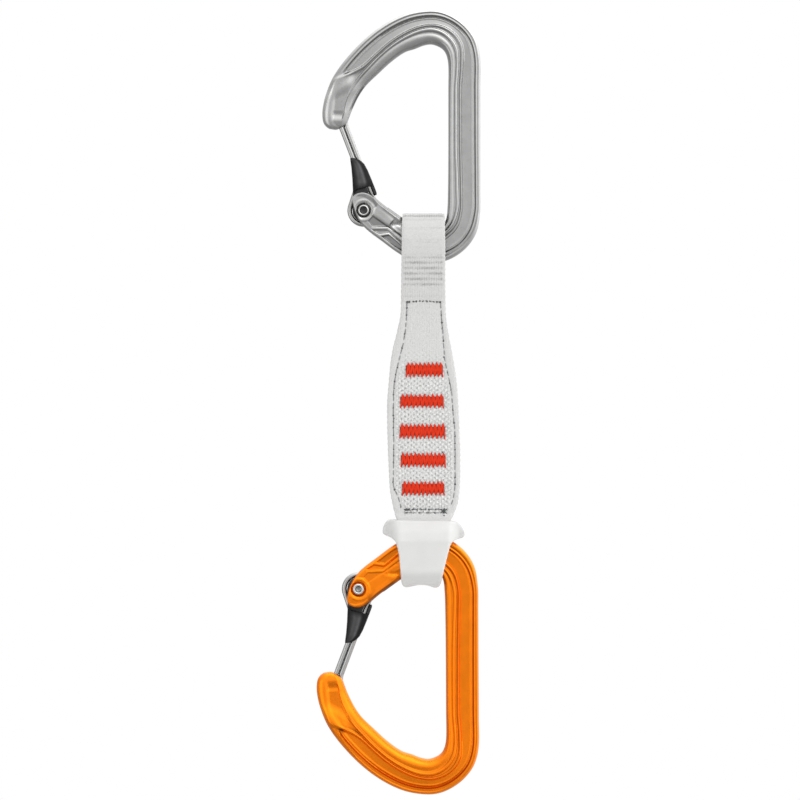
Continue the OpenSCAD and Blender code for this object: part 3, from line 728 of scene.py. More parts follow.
def frame_mesh(name, material):
    """The forging: rings of points across the bar at stations along it, before its slots are cut."""
    t = station_samples()
    rows = stations_at(t)
    t = t[:, None]
    outer, inner, thick = rows[:, 0:2], rows[:, 2:4], rows[:, 4:5]
    width = np.linalg.norm(inner - outer, axis=1)[:, None]
    lines = np.stack([np.interp(t[:, 0], RELIEF[:, 0], column) for column in RELIEF.T[1:]], axis=1)
    lines = soften(lines, 12, closed=False)
    fit = np.minimum(1, (width - 0.15) / (lines[:, 7:] + 0.9))
    lines *= fit
    corner = np.minimum(np.interp(t, CORNER[:, 0], CORNER[:, 1]) * fit, lines[:, :1] * 2.2)
    inner_start = lines[:, 7:] + 0.35 * fit

    # Distances s across a face; the columns follow the relief lines between the rounded edges
    knots = np.concatenate([np.zeros_like(width), lines, width], axis=1)
    between = np.stack([knots[:, k] * (1 - share) + knots[:, k + 1] * share for k, share in COLUMNS], axis=1)
    between = np.clip(between, corner + 1e-3 * np.arange(len(COLUMNS)), inner_start - 1e-3)
    quarter = np.linspace(0, math.pi / 2, CORNER_STEPS)
    s_out = corner * (1 - np.cos(quarter))
    s_in = width - (width - inner_start) * (1 - np.cos(quarter[::-1]))
    s = np.concatenate([s_out, np.maximum.accumulate(between, axis=1), s_in], axis=1)
    count = s.shape[1]
    x = outer[:, :1] + (inner - outer)[:, :1] * s / width
    z = outer[:, 1:] + (inner - outer)[:, 1:] * s / width
    from_inside = width - s

    # Height of the face
    a, b, c, d, e, f, g, p = (lines[:, k : k + 1] for k in range(8))
    on_rim = band(t, 6.0, 6.7, 25.0, 26.0)
    far = fall(t, 24.6, 25.6)
    channel_end = np.where(t < 9.8, -side_of_line(x, z, (-23.2, -8.0), (-29.6, -10.6)), 9.0)
    inner_wall = smooth_min(d - s, channel_end, 1.8)
    outer_wall = smooth_min(s - b, channel_end, 2.0)
    tilt = 0.15 * np.clip(d - 0.4 - s, 0, 4) * band(t, 7.0, 10.0, 13.0, 15.5)
    fillet = rise(outer_wall, 0.3, 0.9) * rise(inner_wall, 0.0, 0.6) * far
    ridge = rise(t, 4.6, 6.6) * far
    beyond = rise(s, 3.2, 5.0) * rise(t, 5.2, 6.4)
    chamfer = fall(t, 5.6, 8.6) * np.clip((s - g) / np.maximum(width - g, 0.1), 0, 1)
    relief = -0.26 * (step_at(s, a, 0.3) - step_at(s, a + 0.6, 0.3)) * on_rim
    relief -= (0.95 + tilt) * rise(outer_wall, -0.36, 0.40) * rise(inner_wall, -0.33, 0.33) * far
    relief -= 0.18 * fall(inner_wall, -0.33, 0.33) * rise(s, 2.6, 4.0) * far
    relief += 0.22 * (step_at(s, b + 0.75, 0.3) - step_at(s, c, 0.3)) * fillet
    relief -= 0.50 * rise(-inner_wall, e - d - 0.32, e - d + 0.32) * beyond * far
    relief += (0.58 * step_at(s, f, 0.32) - 0.62 * step_at(s, g, 0.40)) * ridge
    relief += 0.26 * step_at(s, p - 0.1, 0.5) * ridge
    relief -= 1.5 * chamfer * fit**2
    relief += np.where(t < 8.9, nose_relief(x, z, s, g) * fit**2, 0)
    relief -= 0.34 * rise(from_inside, 1.2, 1.9) * band(t, 26.0, 27.0, 31.5, 32.6)

    # Painted light and shade on the metal, carried by its tone: painted highlights on edges, ridges and walls
    # facing the light, painted shade in corners, grooves and on walls away from the light
    spine = band(t, 15.0, 16.5, 19.8, 21.0)
    top_bend = band(t, 6.4, 9.0, 14.0, 16.0)
    past_end = rise(s, 3.7, 4.5)
    tone = 0.50 * fall(s, 0.5, 1.0) * (0.3 + 0.7 * top_bend) * on_rim
    tone -= (0.30 + 0.16 * rise(t, 20.0, 21.0)) * groove(s, a, 0.42) * on_rim
    tone += 0.16 * groove(s, a + 0.62, 0.36) * on_rim
    tone -= 0.46 * groove(outer_wall, 0.02, 0.52) * (1 - past_end) * far
    tone += 0.16 * groove(outer_wall, 0.80, 0.42) * (1 - past_end) * far
    tone -= 0.12 * groove(s, c, 0.4) * fillet * top_bend
    tone += (0.42 - 0.25 * spine) * groove(inner_wall, 0.10, 0.45) * past_end * far
    tone -= 0.34 * groove(s, e, 0.55) * ridge * rise(t, 6.2, 7.0)
    tone += 0.36 * groove(s, f + 0.12, 0.48) * ridge * rise(t, 6.0, 7.6)
    tone -= 0.24 * groove(s, g + 0.05, 0.5) * ridge * (1 - 0.6 * spine)
    tone += 0.16 * groove(s, p, 0.8) * ridge
    tone -= 0.30 * groove(channel_end, -1.05, 1.25) * band(s, 4.0, 5.2, 7.2, 8.4) * (t < 8.6)
    slot = band(t, 3.6, 4.2, 5.6, 6.0)
    tone += 0.22 * groove(from_inside, 1.3, 1.0) * slot
    arm = 0.42 * fall(from_inside, 1.0, 1.5) + 0.30 * groove(from_inside, 1.9, 0.6)
    arm += 0.35 * fall(from_inside, 0.12, 0.4)
    tone -= arm * band(t, 26.2, 27.0, 31.5, 32.6)
    tone += 0.30 * fall(s, 2.2, 3.2) * fall(t, 5.0, 6.2)
    above_facet = side_of_line(x, z, (-25.6, -12.9), (-35.0, -19.0))
    tone += 0.26 * groove(above_facet, -1.6, 2.6) * fall(s, 6.0, 8.0) * band(t, 3.0, 4.0, 6.0, 6.8)
    tone += 0.35 * groove(s, 0.7, 0.6) * rise(t, 25.4, 26.4)
    tone *= fit**2

    rise_out, rise_in = np.ones(count), np.ones(count)
    rise_out[:CORNER_STEPS] = np.sin(quarter)
    rise_in[-CORNER_STEPS:] = 0.6 * np.sin(quarter[::-1]) + 0.4 * np.cos(quarter) ** 2

    def face(with_panel):
        """Height and tone of one face, rounded down to its edges."""
        height, shading = hinge_relief(x, z, with_panel)
        near_hinge = rise(t, 25.2, 25.9)
        level = thick + relief + height * near_hinge
        height = 0.30 * thick + (level - 0.30 * thick) * rise_out
        height = np.where(rise_in < 1, 0.24 * thick + (level - 0.24 * thick) * rise_in, height)
        return np.maximum(height, 0.225 * thick), tone + shading * near_hinge * rise(from_inside, 0.8, 1.3)

    height, front_tone = face(True)
    # painted shadow along the nose's inner edge, where the gate's wire enters its slot, on the front face
    # only
    front_tone -= 0.70 * fall(from_inside, 0.45, 0.95) * slot * fit**2
    back_height, back_tone = face(False)
    # on the back face the painted shade is made deeper and the painted highlights fainter
    back_tone *= np.where(back_tone < 0, 1.35, 0.8)

    def edge(column, sign):
        """Three points through the thickness, at the first or last column of the face."""
        levels = sign * height[:, column, None] * (-0.5, 0.0, 0.5)
        return np.stack(np.broadcast_arrays(x[:, column, None], levels, z[:, column, None]), axis=2)

    front = np.stack([x, -height, z], axis=2)
    back = np.stack([x, back_height, z], axis=2)[:, ::-1]
    rings = np.concatenate([front, edge(-1, 1), back, edge(0, -1)], axis=1)
    obj = new_mesh(name, *loft(rings), material)
    no_tone = np.zeros((len(t), 3))
    mark(obj, "tone", np.concatenate([front_tone, no_tone, back_tone[:, ::-1], no_tone], axis=1))
    return obj


def frame_cutters():
    """Slots for the wire's eye and shank in the nose, and for the hub between the hinge's cheeks."""
    reach = math.hypot(SHANK, EYE_Z) + EYE_R + WIRE_R + 0.3
    left = LEFT_STRAND - WIRE_R - 0.15
    right = left + 20
    top = [(x, math.sqrt(reach**2 - x**2)) for x in np.linspace(right, left, 24)]
    nose = prism([(left, 20.0), (right, 20.0), *top], 1.15)
    eye = prism(arc(SHANK, EYE_Z, EYE_R + WIRE_R + 0.2, 0, 352, 45), 1.15)
    for cutter in (nose, eye):
        move(cutter, GATE_PLACE)
    return nose, eye, prism(arc(*PIVOT, 8.8, 0, 357, 120), 1.8)


def make_frames():
    upper = frame_mesh("upper_frame_forging", silver)
    cut(upper, *frame_cutters())
    crisp(upper, 50)
    lower = bpy.data.objects.new("lower_frame_forging", upper.data.copy())
    bpy.context.scene.collection.objects.link(lower)
    repaint(lower, orange)
    move(lower, LOWER_PLACE)
    finish_piece(upper, "upper_carabiner", "silver", "upper_frame")
    finish_piece(lower, "lower_carabiner", "orange", "lower_frame")


# ---------------------------------------------------------------- gate

HOOD_LEFT = [(7.1, -1.45), (9.0, -0.75), (12.2, 0.3), (16.0, 1.4), (18.4, 1.95), (19.4, 2.25)]
HOOD_RIGHT = [(7.1, 6.6), (9.0, 6.72), (13.0, 6.6), (15.6, 6.25), (17.3, 5.4), (18.4, 4.3), (19.4, 2.75)]


def wire_path():
    """Middle of the wire: round the hub, up one strand, round the eye and down the other."""
    spread, flare = math.radians(STRAND_SPREAD), math.radians(EYE_FLARE)
    bend_z = (RIGHT_STRAND + LEFT_STRAND * math.cos(spread)) / math.sin(spread)
    bend_z += BEND_R * math.tan(spread / 2)
    half_gap = RIGHT_STRAND - SHANK
    flare_z = EYE_Z - (EYE_R - half_gap * math.cos(flare)) / math.sin(flare)
    flare_start = flare_z - BEND_R * math.tan(flare / 2)
    flare_x = half_gap + BEND_R
    path = arc(0, 0, RIGHT_STRAND, 354, 180 - STRAND_SPREAD, 40)
    path += arc(LEFT_STRAND - BEND_R, bend_z, BEND_R, -STRAND_SPREAD, 0, 10)
    path += arc(SHANK - flare_x, flare_start, BEND_R, 0, EYE_FLARE, 5)
    path += arc(SHANK, EYE_Z, EYE_R, 180 + EYE_FLARE, -EYE_FLARE, 24)
    path += arc(SHANK + flare_x, flare_start, BEND_R, 180 - EYE_FLARE, 180, 5)
    path += [(RIGHT_STRAND, z) for z in np.linspace(flare_start - 1, 0, 12)]
    return [(x, 0.0, z) for x, z in path]


def hood_edges(z):
    return np.interp(z, *zip(*HOOD_LEFT)), np.interp(z, *zip(*HOOD_RIGHT))


def superellipse(cx, hx, hy, power, count):
    a = np.linspace(0, 2 * math.pi, count, endpoint=False)
    c, s = np.cos(a), np.sin(a)
    return cx + hx * np.sign(c) * np.abs(c) ** (2 / power), hy * np.sign(s) * np.abs(s) ** (2 / power)


def hood_shell():
    """The hood round the strands: rounded, wider below, its mouth cut on a slant."""
    rings = []
    for up in (*np.linspace(0, 0.25, 5), *np.linspace(0.5, 11.6, 34), *np.linspace(11.8, 12.3, 6)):
        z = 7.1 + up
        left, right = hood_edges(z)
        half_y = np.interp(z, [6, 20], [2.6, 1.5])
        edge = math.sqrt(max(0.02, 1 - max(0, 1 - up / 0.25) ** 2)) * 0.06 + 0.94
        close = math.sqrt(max(0.05, 1 - max(0, (up - 11.3) / 1.0) ** 2))
        x, y = superellipse((left + right) / 2, (right - left) / 2 * edge, half_y * edge * close, 3.2, 48)
        slant = 1.1 * np.clip((right - x) / (right - left), 0, 1) - 1.7 * np.clip((0.2 - x) / 1.6, 0, 1)
        rings.append(np.stack([x, y, z + slant * max(0, 1 - up / 3.0)], axis=1))
    return loft(rings, -1)


def slab(corners, step, passes, bevel):
    """A plate of a softened outline with rounded edges."""
    p = soften(resample(corners, step, closed=True)[0], passes)
    away = p - p.mean(axis=0)
    away /= np.linalg.norm(away, axis=1)[:, None]
    half = 1.5
    front = [(-half, bevel), (-half + 0.3 * bevel, 0.3 * bevel), (-half + bevel, 0)]
    rings = []
    for depth, inset in front + [(-y, inset) for y, inset in reversed(front)]:
        q = p - away * inset
        rings.append(np.stack([q[:, 0], np.full(len(p), depth), q[:, 1]], axis=1))
    return loft(rings)


def lathe(profile, count=64):
    """A turned shape round Y from (radius, y) pairs, closed at both ends."""
    angle = np.linspace(0, 2 * math.pi, count, endpoint=False)
    across, along = np.cos(angle), np.sin(angle)
    return loft([np.stack([r * across, np.full(count, y), r * along], axis=1) for r, y in profile])


def rivet_profile(dimple):
    """Turned ends; dimple is the radius of the sunk middle."""
    rim = [(-0.46, 2.72), (-0.2, 2.86), (-0.06, 3.2), (0.0, 3.6), (0.09, 3.78), (0.2, 3.87)]
    side = [(0.25, 2.70), *((dimple + r, y) for r, y in rim)]
    side += [(1.66, 3.88), (1.8, 3.80), (1.92, 3.62), (1.93, 3.46), (1.88, 3.36), (1.5, 3.30)]
    return side + [(r, -y) for r, y in reversed(side)]


def make_gate(name, body, frame_body, matrix, dimple, socket_shade_metal):
    wire = build(f"{name}_wire_bent", [tube(resample(wire_path(), 0.45)[0], WIRE_R, 28)], wire_steel)
    sleeve = build(f"{name}_sleeve_moulded", [hood_shell()], black, 40)
    tongue = arc(0, 0, HUB_R, -180, 0, 30)
    tongue += [(HUB_R, 8.6), (2.0, 9.4), (-0.9, 8.6), (-1.35, 7.2), (-2.3, 4.6), (-3.6, 1.9)]
    prong = [(5.75, 9.0), (6.66, 9.0), (6.72, 6.0), (6.68, 4.2), (6.45, 3.6)]
    prong += [(6.05, 3.55), (5.72, 4.0), (5.68, 6.0)]
    plates = [slab(tongue, 0.35, 3, 0.2), slab(prong, 0.2, 2, 0.18)]
    # the tongue is in the blacker nylon: painted shade under the hood
    tongue = build(f"{name}_sleeve_tongue", plates, shadow_black, 40)
    # painted sheen on the hood: two lighter, glossier streaks down it, fading at its lower edge and towards
    # its top
    x, _, z = np.array([vertex.co for vertex in sleeve.data.vertices]).T / MM
    left, right = hood_edges(z)
    share = (x - left) / np.maximum(right - left, 0.2)
    sheen_paint = 0.75 * np.exp(-(((share - 0.42) / 0.16) ** 2)) + 0.9 * np.exp(-(((share - 0.64) / 0.07) ** 2))
    mark(sleeve, "tone", sheen_paint * rise(z, 7.2, 10.0) * (1 - 0.6 * rise(z, 15.0, 19.0)))
    rivet = build(f"{name}_rivet_turned", [lathe(rivet_profile(dimple))], rivet_steel, 50)
    # hexagonal discs in the dimples, in a darker steel: painted shade at their bottom
    hexagon = [(dimple - 0.13, 2.95), (dimple - 0.13, 3.40), (0.6 * dimple, 3.26)]
    sockets = [lathe([(r, side * y) for r, y in hexagon], 6) for side in (-1, 1)]
    socket = build(f"{name}_rivet_socket", sockets, socket_shade_metal, 30)
    for piece in (wire, sleeve, tongue):
        move(piece, GATE_PLACE)
    for piece in (rivet, socket):
        move(piece, PIVOT_PLACE)
    for piece in (wire, sleeve, tongue, rivet, socket):
        move(piece, matrix)
    finish_piece(wire, body, "wire", f"{name}_gate_wire")
    finish_piece(sleeve, body, "sleeve", f"{name}_gate_sleeve")
    finish_piece(tongue, body, "sleeve")
    finish_piece(rivet, frame_body, "rivet", f"{name}_gate_rivet")
    finish_piece(socket, frame_body, "rivet")
    repaint(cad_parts[f"{name}_return_spring"], steel)


# ---------------------------------------------------------------- sling

# One layer's thickness, and how far the face of the sewn part is from its middle
TAPE_T, STACK = 1.2, 1.8
UPPER_Z, UPPER_R = -70.6, 8.7
LOWER_Z, LOWER_R, LOWER_FLAT = -184.149, 8.3, 6.65
SEWN_TOP, SEWN_BOTTOM = -92.2, -169.2
OUTLINE = np.array([
    [-56, -9.8, 5.1], [-60, -9.9, 5.2], [-63, -10.1, 5.3], [-72, -10.2, 5.4], [-90, -10.4, 5.5],
    [-97, -10.5, 5.7], [-100.6, -11.2, 6.1], [-104.8, -12.2, 6.8], [-109.3, -13.4, 7.7], [-115, -14.3, 8.7],
    [-121, -14.8, 9.6], [-129, -15.5, 10.2], [-138, -15.4, 10.6], [-147, -15.1, 10.9], [-156, -14.7, 10.9],
    [-161, -14.4, 10.6], [-164, -13.8, 10.3], [-167, -13.2, 9.5], [-170, -12.3, 8.0], [-173, -11.0, 6.0],
    [-177, -9.9, 4.2], [-184, -9.7, 3.5], [-196, -9.7, 3.5],
])
NECK_LINE = [(-93.0, -8.4, 3.9), (-95.6, -8.3, 3.9), (-102.6, -8.8, 4.5), (-107.2, -9.5, 4.8)]
BODY_LINE = [
    (-107.3, -9.5, 4.8), (-114.3, -11.3, 5.4), (-117.9, -12.1, 6.3), (-121.5, -12.8, 7.1),
    (-125.5, -13.1, 7.8), (-131.6, -13.2, 8.2), (-138.1, -13.1, 8.9), (-146.0, -13.0, 9.0),
    (-159.0, -13.3, 9.0), (-163.3, -11.3, 8.5), (-166.5, -10.4, 7.3),
]
TOP_ROW = [(-8.75, -93.0), (-5.0, -92.5), (-2.0, -92.3), (1.5, -92.5), (4.25, -92.9)]
# Centre x, centre z, width and height of each bar tack
TACKS = [
    (-2.05, -117.1, 13.9, 5.9), (-2.9, -128.4, 16.2, 5.5), (-2.7, -139.2, 16.8, 6.0),
    (-2.45, -149.6, 16.7, 5.8), (-2.45, -159.8, 15.7, 5.7),
]
RIB_PITCH = 1.95
# How far below the origin, how wide and how strong each line across the upper loop's top is, a line of
# painted shade and a slight dent
TOP_LINES = [(60.4, 0.3, 0.9), (61.9, 0.42, 1.0), (60.75, 0.2, 0.8), (63.3, 0.4, 0.3)]


def smooth_table(rows):
    """A table of z and values, resampled finely and smoothed, for interpolation by z."""
    rows = rows[::-1]
    z = np.linspace(rows[-1, 0], rows[0, 0], 600)
    table = np.stack([np.interp(z, rows[:, 0], column) for column in rows.T], axis=1)
    return soften(table, 60, closed=False)[::-1]


EDGES = smooth_table(OUTLINE)


def edge_at(z, side):
    return np.interp(z, EDGES[:, 0], EDGES[:, 1 + side])


def tangent_angle(radius, half, gap):
    """Angle from the loop's axis towards the tip at which the straight side touches the circle."""
    distance = math.hypot(half, gap)
    return math.acos(radius / distance) + math.atan2(half, gap)


def lower_bend(thickness, half, count):
    """Half of the lower loop in the (y, z) plane, flattened, from the body to its lowest point."""
    r, flat = LOWER_R + thickness, LOWER_FLAT + thickness
    start = math.pi - tangent_angle(r, half, SEWN_BOTTOM - LOWER_Z)
    angles = np.linspace(start, 0, count)
    return [(max(-r * math.sin(a), -flat), LOWER_Z - r * math.cos(a)) for a in angles]


def tape_path():
    """The tape's outer face in the (y, z) plane: once round, front side first, from the top."""
    r = UPPER_R + TAPE_T
    end = math.pi - tangent_angle(r, STACK, UPPER_Z - SEWN_TOP)
    top = [(-r * math.sin(a), UPPER_Z + r * math.cos(a)) for a in np.linspace(0, end, 60)]
    middle = [(-STACK, SEWN_TOP - 0.4), (-STACK, SEWN_BOTTOM + 0.4)]
    half = top + middle + lower_bend(TAPE_T, STACK, 60)
    other = [(-y, z) for y, z in reversed(half[1:-1])]
    path = soften(resample(half + other, 0.3, closed=True)[0], 12)
    return np.roll(path, -int(np.argmax(path[:, 1])), axis=0)


def pressed(x, z):
    """How far stitches and tacks pull the tape's face in."""
    depth = np.zeros_like(x)
    sides = [[(row[side], row[0]) for row in line] for side in (1, 2) for line in (NECK_LINE, BODY_LINE)]
    rows = [[(-9.7, row), (6.1, row)] for row in (-167.3, -168.6)]
    for line in (*sides, TOP_ROW, *rows):
        depth = np.maximum(depth, 0.20 * np.exp(-((line_distance(x, z, line) / 0.55) ** 2)))
    for cx, cz, width, height in TACKS:
        dx = np.maximum(np.abs(x - cx) - width / 2, 0)
        dz = np.maximum(np.abs(z - cz) - height / 2 + 0.8, 0)
        depth = np.maximum(depth, 0.30 * np.exp(-((np.hypot(dx, dz) / 0.9) ** 2)))
    return depth


def body_share(x, z):
    """Where the broken twill shows: between the body's two lines of stitches."""
    rows = np.array(BODY_LINE)[::-1]
    left = np.interp(z, rows[:, 0], rows[:, 1])
    right = np.interp(z, rows[:, 0], rows[:, 2])
    inside = rise(x, left + 0.3, left + 1.5) * fall(x, right - 1.5, right - 0.3)
    along = (0.15 + 0.85 * fall(z, -122.0, -108.0)) * band(z, -170.8, -169.5, -96.0, -93.0)
    return inside * along


def bend_at_neck(obj, slot, *nodes):
    """Bakes the piece's placement into its mesh and hides the imported parts that it replaces."""
    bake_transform(obj)
    if nodes:
        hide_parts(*nodes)


def make_tape():
    """The tape as one closed ring of cross-sections, with its ribs, creases and pressed stitches."""
    path = tape_path()
    n = len(path)
    tangent = np.roll(path, -1, axis=0) - np.roll(path, 1, axis=0)
    tangent /= np.linalg.norm(tangent, axis=1)[:, None]
    outward = np.stack([tangent[:, 1], -tangent[:, 0]], axis=1)
    outward *= np.sign(outward[n // 8, 0] * path[n // 8, 0])
    y, z = path[:, :1], path[:, 1:]
    left, right = edge_at(z, 0), edge_at(z, 1)
    inset = 0.24
    columns = 72
    x = left + inset + (right - left - 2 * inset) * np.linspace(0, 1, columns)
    from_edge = np.minimum(x - left, right - x)
    inside = rise(from_edge, 0.4, 1.2)
    sewn = band(z, SEWN_BOTTOM - 1, SEWN_BOTTOM + 1, SEWN_TOP - 1, SEWN_TOP + 1)

    # Ribs and creases across the tape, pressed in and darkened with painted shade, and fine ticks along it
    ribs = band(z, -88.6, -86.0, -77.6, -75.6)
    phase = (z + 76.8) / RIB_PITCH
    rib = 0.5 + 0.5 * np.cos(phase * 2 * math.pi)
    uneven = 0.78 + 0.22 * np.sin(0.55 * x + 2.1 * np.round(phase))
    # line: painted shade in the ribs' valleys, the crinkles and across the loop's top
    line = rib**1.2 * (ribs + 0.5 * fall(z, -172.0, -169.5)) * inside * uneven
    crinkled = band(z, -78.0, -75.0, -66.0, -64.0) + 0.8 * band(z, -92.0, -90.5, -88.0, -86.0)
    crinkle = sum(np.sin(z * k + 0.12 * k * np.sin(0.35 * x + k)) for k in (1.3, 2.9, 4.7, 7.1)) / 4
    line += 0.55 * np.clip(crinkle, 0, 1) ** 1.5 * crinkled * inside * (y < 0)
    tops = sum(strength * np.exp(-(((z + below) / half) ** 2)) for below, half, strength in TOP_LINES)
    line = line * 0.66 + tops * 0.70 * rise(from_edge, 0.2, 0.7)
    weave = body_share(x, z) * sewn
    ticks = np.maximum(ribs, rise(z, -64.2, -61.5)) + 0.9 * band(z, -92.6, -91.0, -88.6, -87.0)
    ticks = ticks * inside + 0.5 * band(from_edge, 0.05, 0.35, 0.7, 1.2) + 0.55 * sewn * (1 - weave) * inside
    drop = 0.14 * line + 0.22 * fall(from_edge, 0.2, 1.1) + pressed(x, z) * sewn

    def below_path(at_x, depth):
        at_y, at_z = y - outward[:, :1] * depth, z - outward[:, 1:] * depth
        return np.stack(np.broadcast_arrays(at_x, at_y, at_z), axis=2)

    turn = np.linspace(0, math.pi, 7)[1:-1]
    bulge = inset + 0.05 * np.sin(z * 2 * math.pi / RIB_PITCH)

    def edge(column, sign):
        """The rounded edge beside the first or last column."""
        start = drop[:, column, None]
        at_x = x[:, column, None] + sign * bulge * np.sin(turn)
        return below_path(at_x, start + (TAPE_T - start) * (0.5 - 0.5 * np.cos(turn)))

    inner = below_path(x[:, :1] + (x[:, -1:] - x[:, :1]) * np.linspace(1, 0, 16), TAPE_T)
    rings = np.concatenate([below_path(x, drop), edge(-1, 1), inner, edge(0, -1)[:, ::-1]], axis=1)
    uv = np.stack(np.broadcast_arrays(rings[:, :, 0], lengths(path)[:, None]), axis=2)
    faces = grid_faces(*rings.shape[:2], closed=True)
    obj = new_mesh("sling_tape", rings.reshape(-1, 3), faces, tape_white, uv.reshape(-1, 2))
    for label, values, elsewhere in (("weave", weave, 0.0), ("line", line, 0.0), ("ticks", ticks, 0.4)):
        around = np.full(rings.shape[:2], elsewhere)
        around[:, :columns] = values
        mark(obj, label, around)
    bend_at_neck(obj, "webbing", "upper_loop_webbing", "body_webbing")


def make_core():
    """The middle layer, seen at the edges of the sewn part."""
    turn = np.linspace(0, math.pi, 6)[1:-1]
    flat = np.full(20, 0.58)
    y = np.concatenate([-flat, -0.58 * np.cos(turn), flat, 0.58 * np.cos(turn)])
    rings = []
    for z in np.arange(SEWN_TOP - 1.0, SEWN_BOTTOM + 0.6, -0.5):
        left, right = edge_at(z, 0) + 0.75, edge_at(z, 1) - 0.75
        x = np.linspace(left, right, 20)
        x = np.concatenate([x, right + 0.2 * np.sin(turn), x[::-1], left - 0.2 * np.sin(turn)])
        rings.append(np.stack([x, y, np.full(len(x), z)], axis=1))
    points, faces = loft(rings)
    obj = new_mesh("sling_inner_layer", points, faces, core_white, points[:, [0, 2]])
    bend_at_neck(obj, "core", "sling_core")


def laid(path, side, radius, sides=8, flat=0.8, taper=1.0):
    """A thread along a path drawn for the back face; side is -1 to lay it on the front."""
    return tube(np.asarray(path, float) * (1, side, 1), radius, sides, flat, taper)


def tack_threads(cx, cz, width, height, side, threads, under, seed):
    """One bar tack on one face: an underlay of straight stitches, then zigzag passes over it."""
    local = np.random.default_rng(seed)
    face = STACK - 0.2
    for dz in (-1.25, -0.75, -0.25, 0.25, 0.75, 1.25):
        ends = [(cx - width / 2 + 0.3, face, cz + dz), (cx + width / 2 - 0.3, face, cz + dz)]
        under.append(laid(resample(ends, 1.0)[0], side, 0.34, flat=0.7))
    teeth = int(round(width / 1.55))
    pitch = (width - 0.7) / teeth
    for reach, shift, level in ((0.50, 0.0, 0.16), (0.37, 0.5, 0.10)):
        corners = []
        for k in range(2 * teeth + 1):
            x = cx - width / 2 + 0.35 + (k + shift) * pitch / 2
            if x > cx + width / 2 - 0.25:
                break
            x += local.uniform(-0.09, 0.09)
            tip = height * reach * (1 + local.uniform(-0.10, 0.05)) - 0.1
            corners.append((x, cz + tip * (1 if k % 2 else -1)))
        path = []
        for (ax, az), (bx, bz) in zip(corners[:-1], corners[1:]):
            for u in np.linspace(0, 1, 9)[:-1]:
                over = level + 0.14 * math.sin(math.pi * u) - 0.34 * abs(2 * u - 1) ** 6
                path.append((ax + (bx - ax) * u, face + over, az + (bz - az) * u))
        path.append((corners[-1][0], face + level - 0.32, corners[-1][1]))
        threads.append(laid(path, side, 0.26))


def make_tacks():
    for k, tack in enumerate(TACKS):
        threads, under = [], []
        for side in (-1, 1):
            tack_threads(*tack, side, threads, under, 40 + 2 * k + (side > 0))
        obj = build(f"bar_tack_threads_{k + 1}", threads, red_thread)
        finish_piece(obj, "sling_body", "tack_thread", f"bar_tack_{k + 1}")
        finish_piece(build(f"bar_tack_underlay_{k + 1}", under, shaded_red_underlay), "sling_body", "tack_thread")


def run_of_stitches(line, length, gap, threads, knots, radius, seed):
    """Separate stitches along a line on both faces, each end sunk in the tape."""
    local = np.random.default_rng(seed)
    points, at = resample(soften(resample(line, 0.8)[0], 4, closed=False), 0.2)
    for side in (-1, 1):
        start = 0.05
        while start < at[-1] - 0.8:
            end = min(at[-1], start + length * (1 + local.uniform(-0.12, 0.12)))
            count = max(5, int((end - start) / 0.22))
            s = np.linspace(start, end, count)
            x = np.interp(s, at, points[:, 0]) + local.uniform(-0.05, 0.05)
            z = np.interp(s, at, points[:, 1])
            u = np.linspace(0, 1, count)
            y = STACK - 0.20 + 0.10 * np.sin(math.pi * u) ** 0.6 - 0.22 * np.abs(2 * u - 1) ** 8
            taper = 0.65 + 0.35 * np.sin(math.pi * u) ** 0.5
            threads.append(laid(np.stack([x, y, z], axis=1), side, radius, taper=taper))
            if local.random() < 0.6:
                knots.append(knot(x[-1], z[-1], side, 0.28 + 0.16 * local.random(), local))
            start = end + gap


def knot(x, z, side, size, local):
    """The small loop where the two threads lock."""
    a = np.linspace(0, 1.5 * math.pi, 9) + local.uniform(0, math.pi)
    path = [x + size * 0.5 * np.cos(a), np.full(9, STACK - 0.10), z + size * 0.7 * np.sin(a)]
    return laid(np.stack(path, axis=1), side, 0.15, 7)


def tangle(cx, cz, rx, rz, turns, threads, seed, radius=0.15, lift=0.0):
    """Back-stitched thread ends, crossing each other."""
    local = np.random.default_rng(seed)
    count = turns * 2
    for side in (-1, 1):
        x = cx + rx * local.uniform(-1, 1, count)
        y = STACK - 0.12 + lift + 0.22 * local.random(count)
        z = cz + rz * local.uniform(-1, 1, count)
        corners = np.stack([x, y, z], axis=1)
        threads.append(laid(soften(resample(corners, 0.25)[0], 3, closed=False), side, radius, 7))


def both_sides(table, length, threads, knots, seed):
    """Stitches along the left and right lines of a table of z and two x values."""
    for side in (1, 2):
        line = [(row[side], row[0]) for row in table]
        run_of_stitches(line, length, 0.32, threads, knots, 0.15, seed + side - 1)


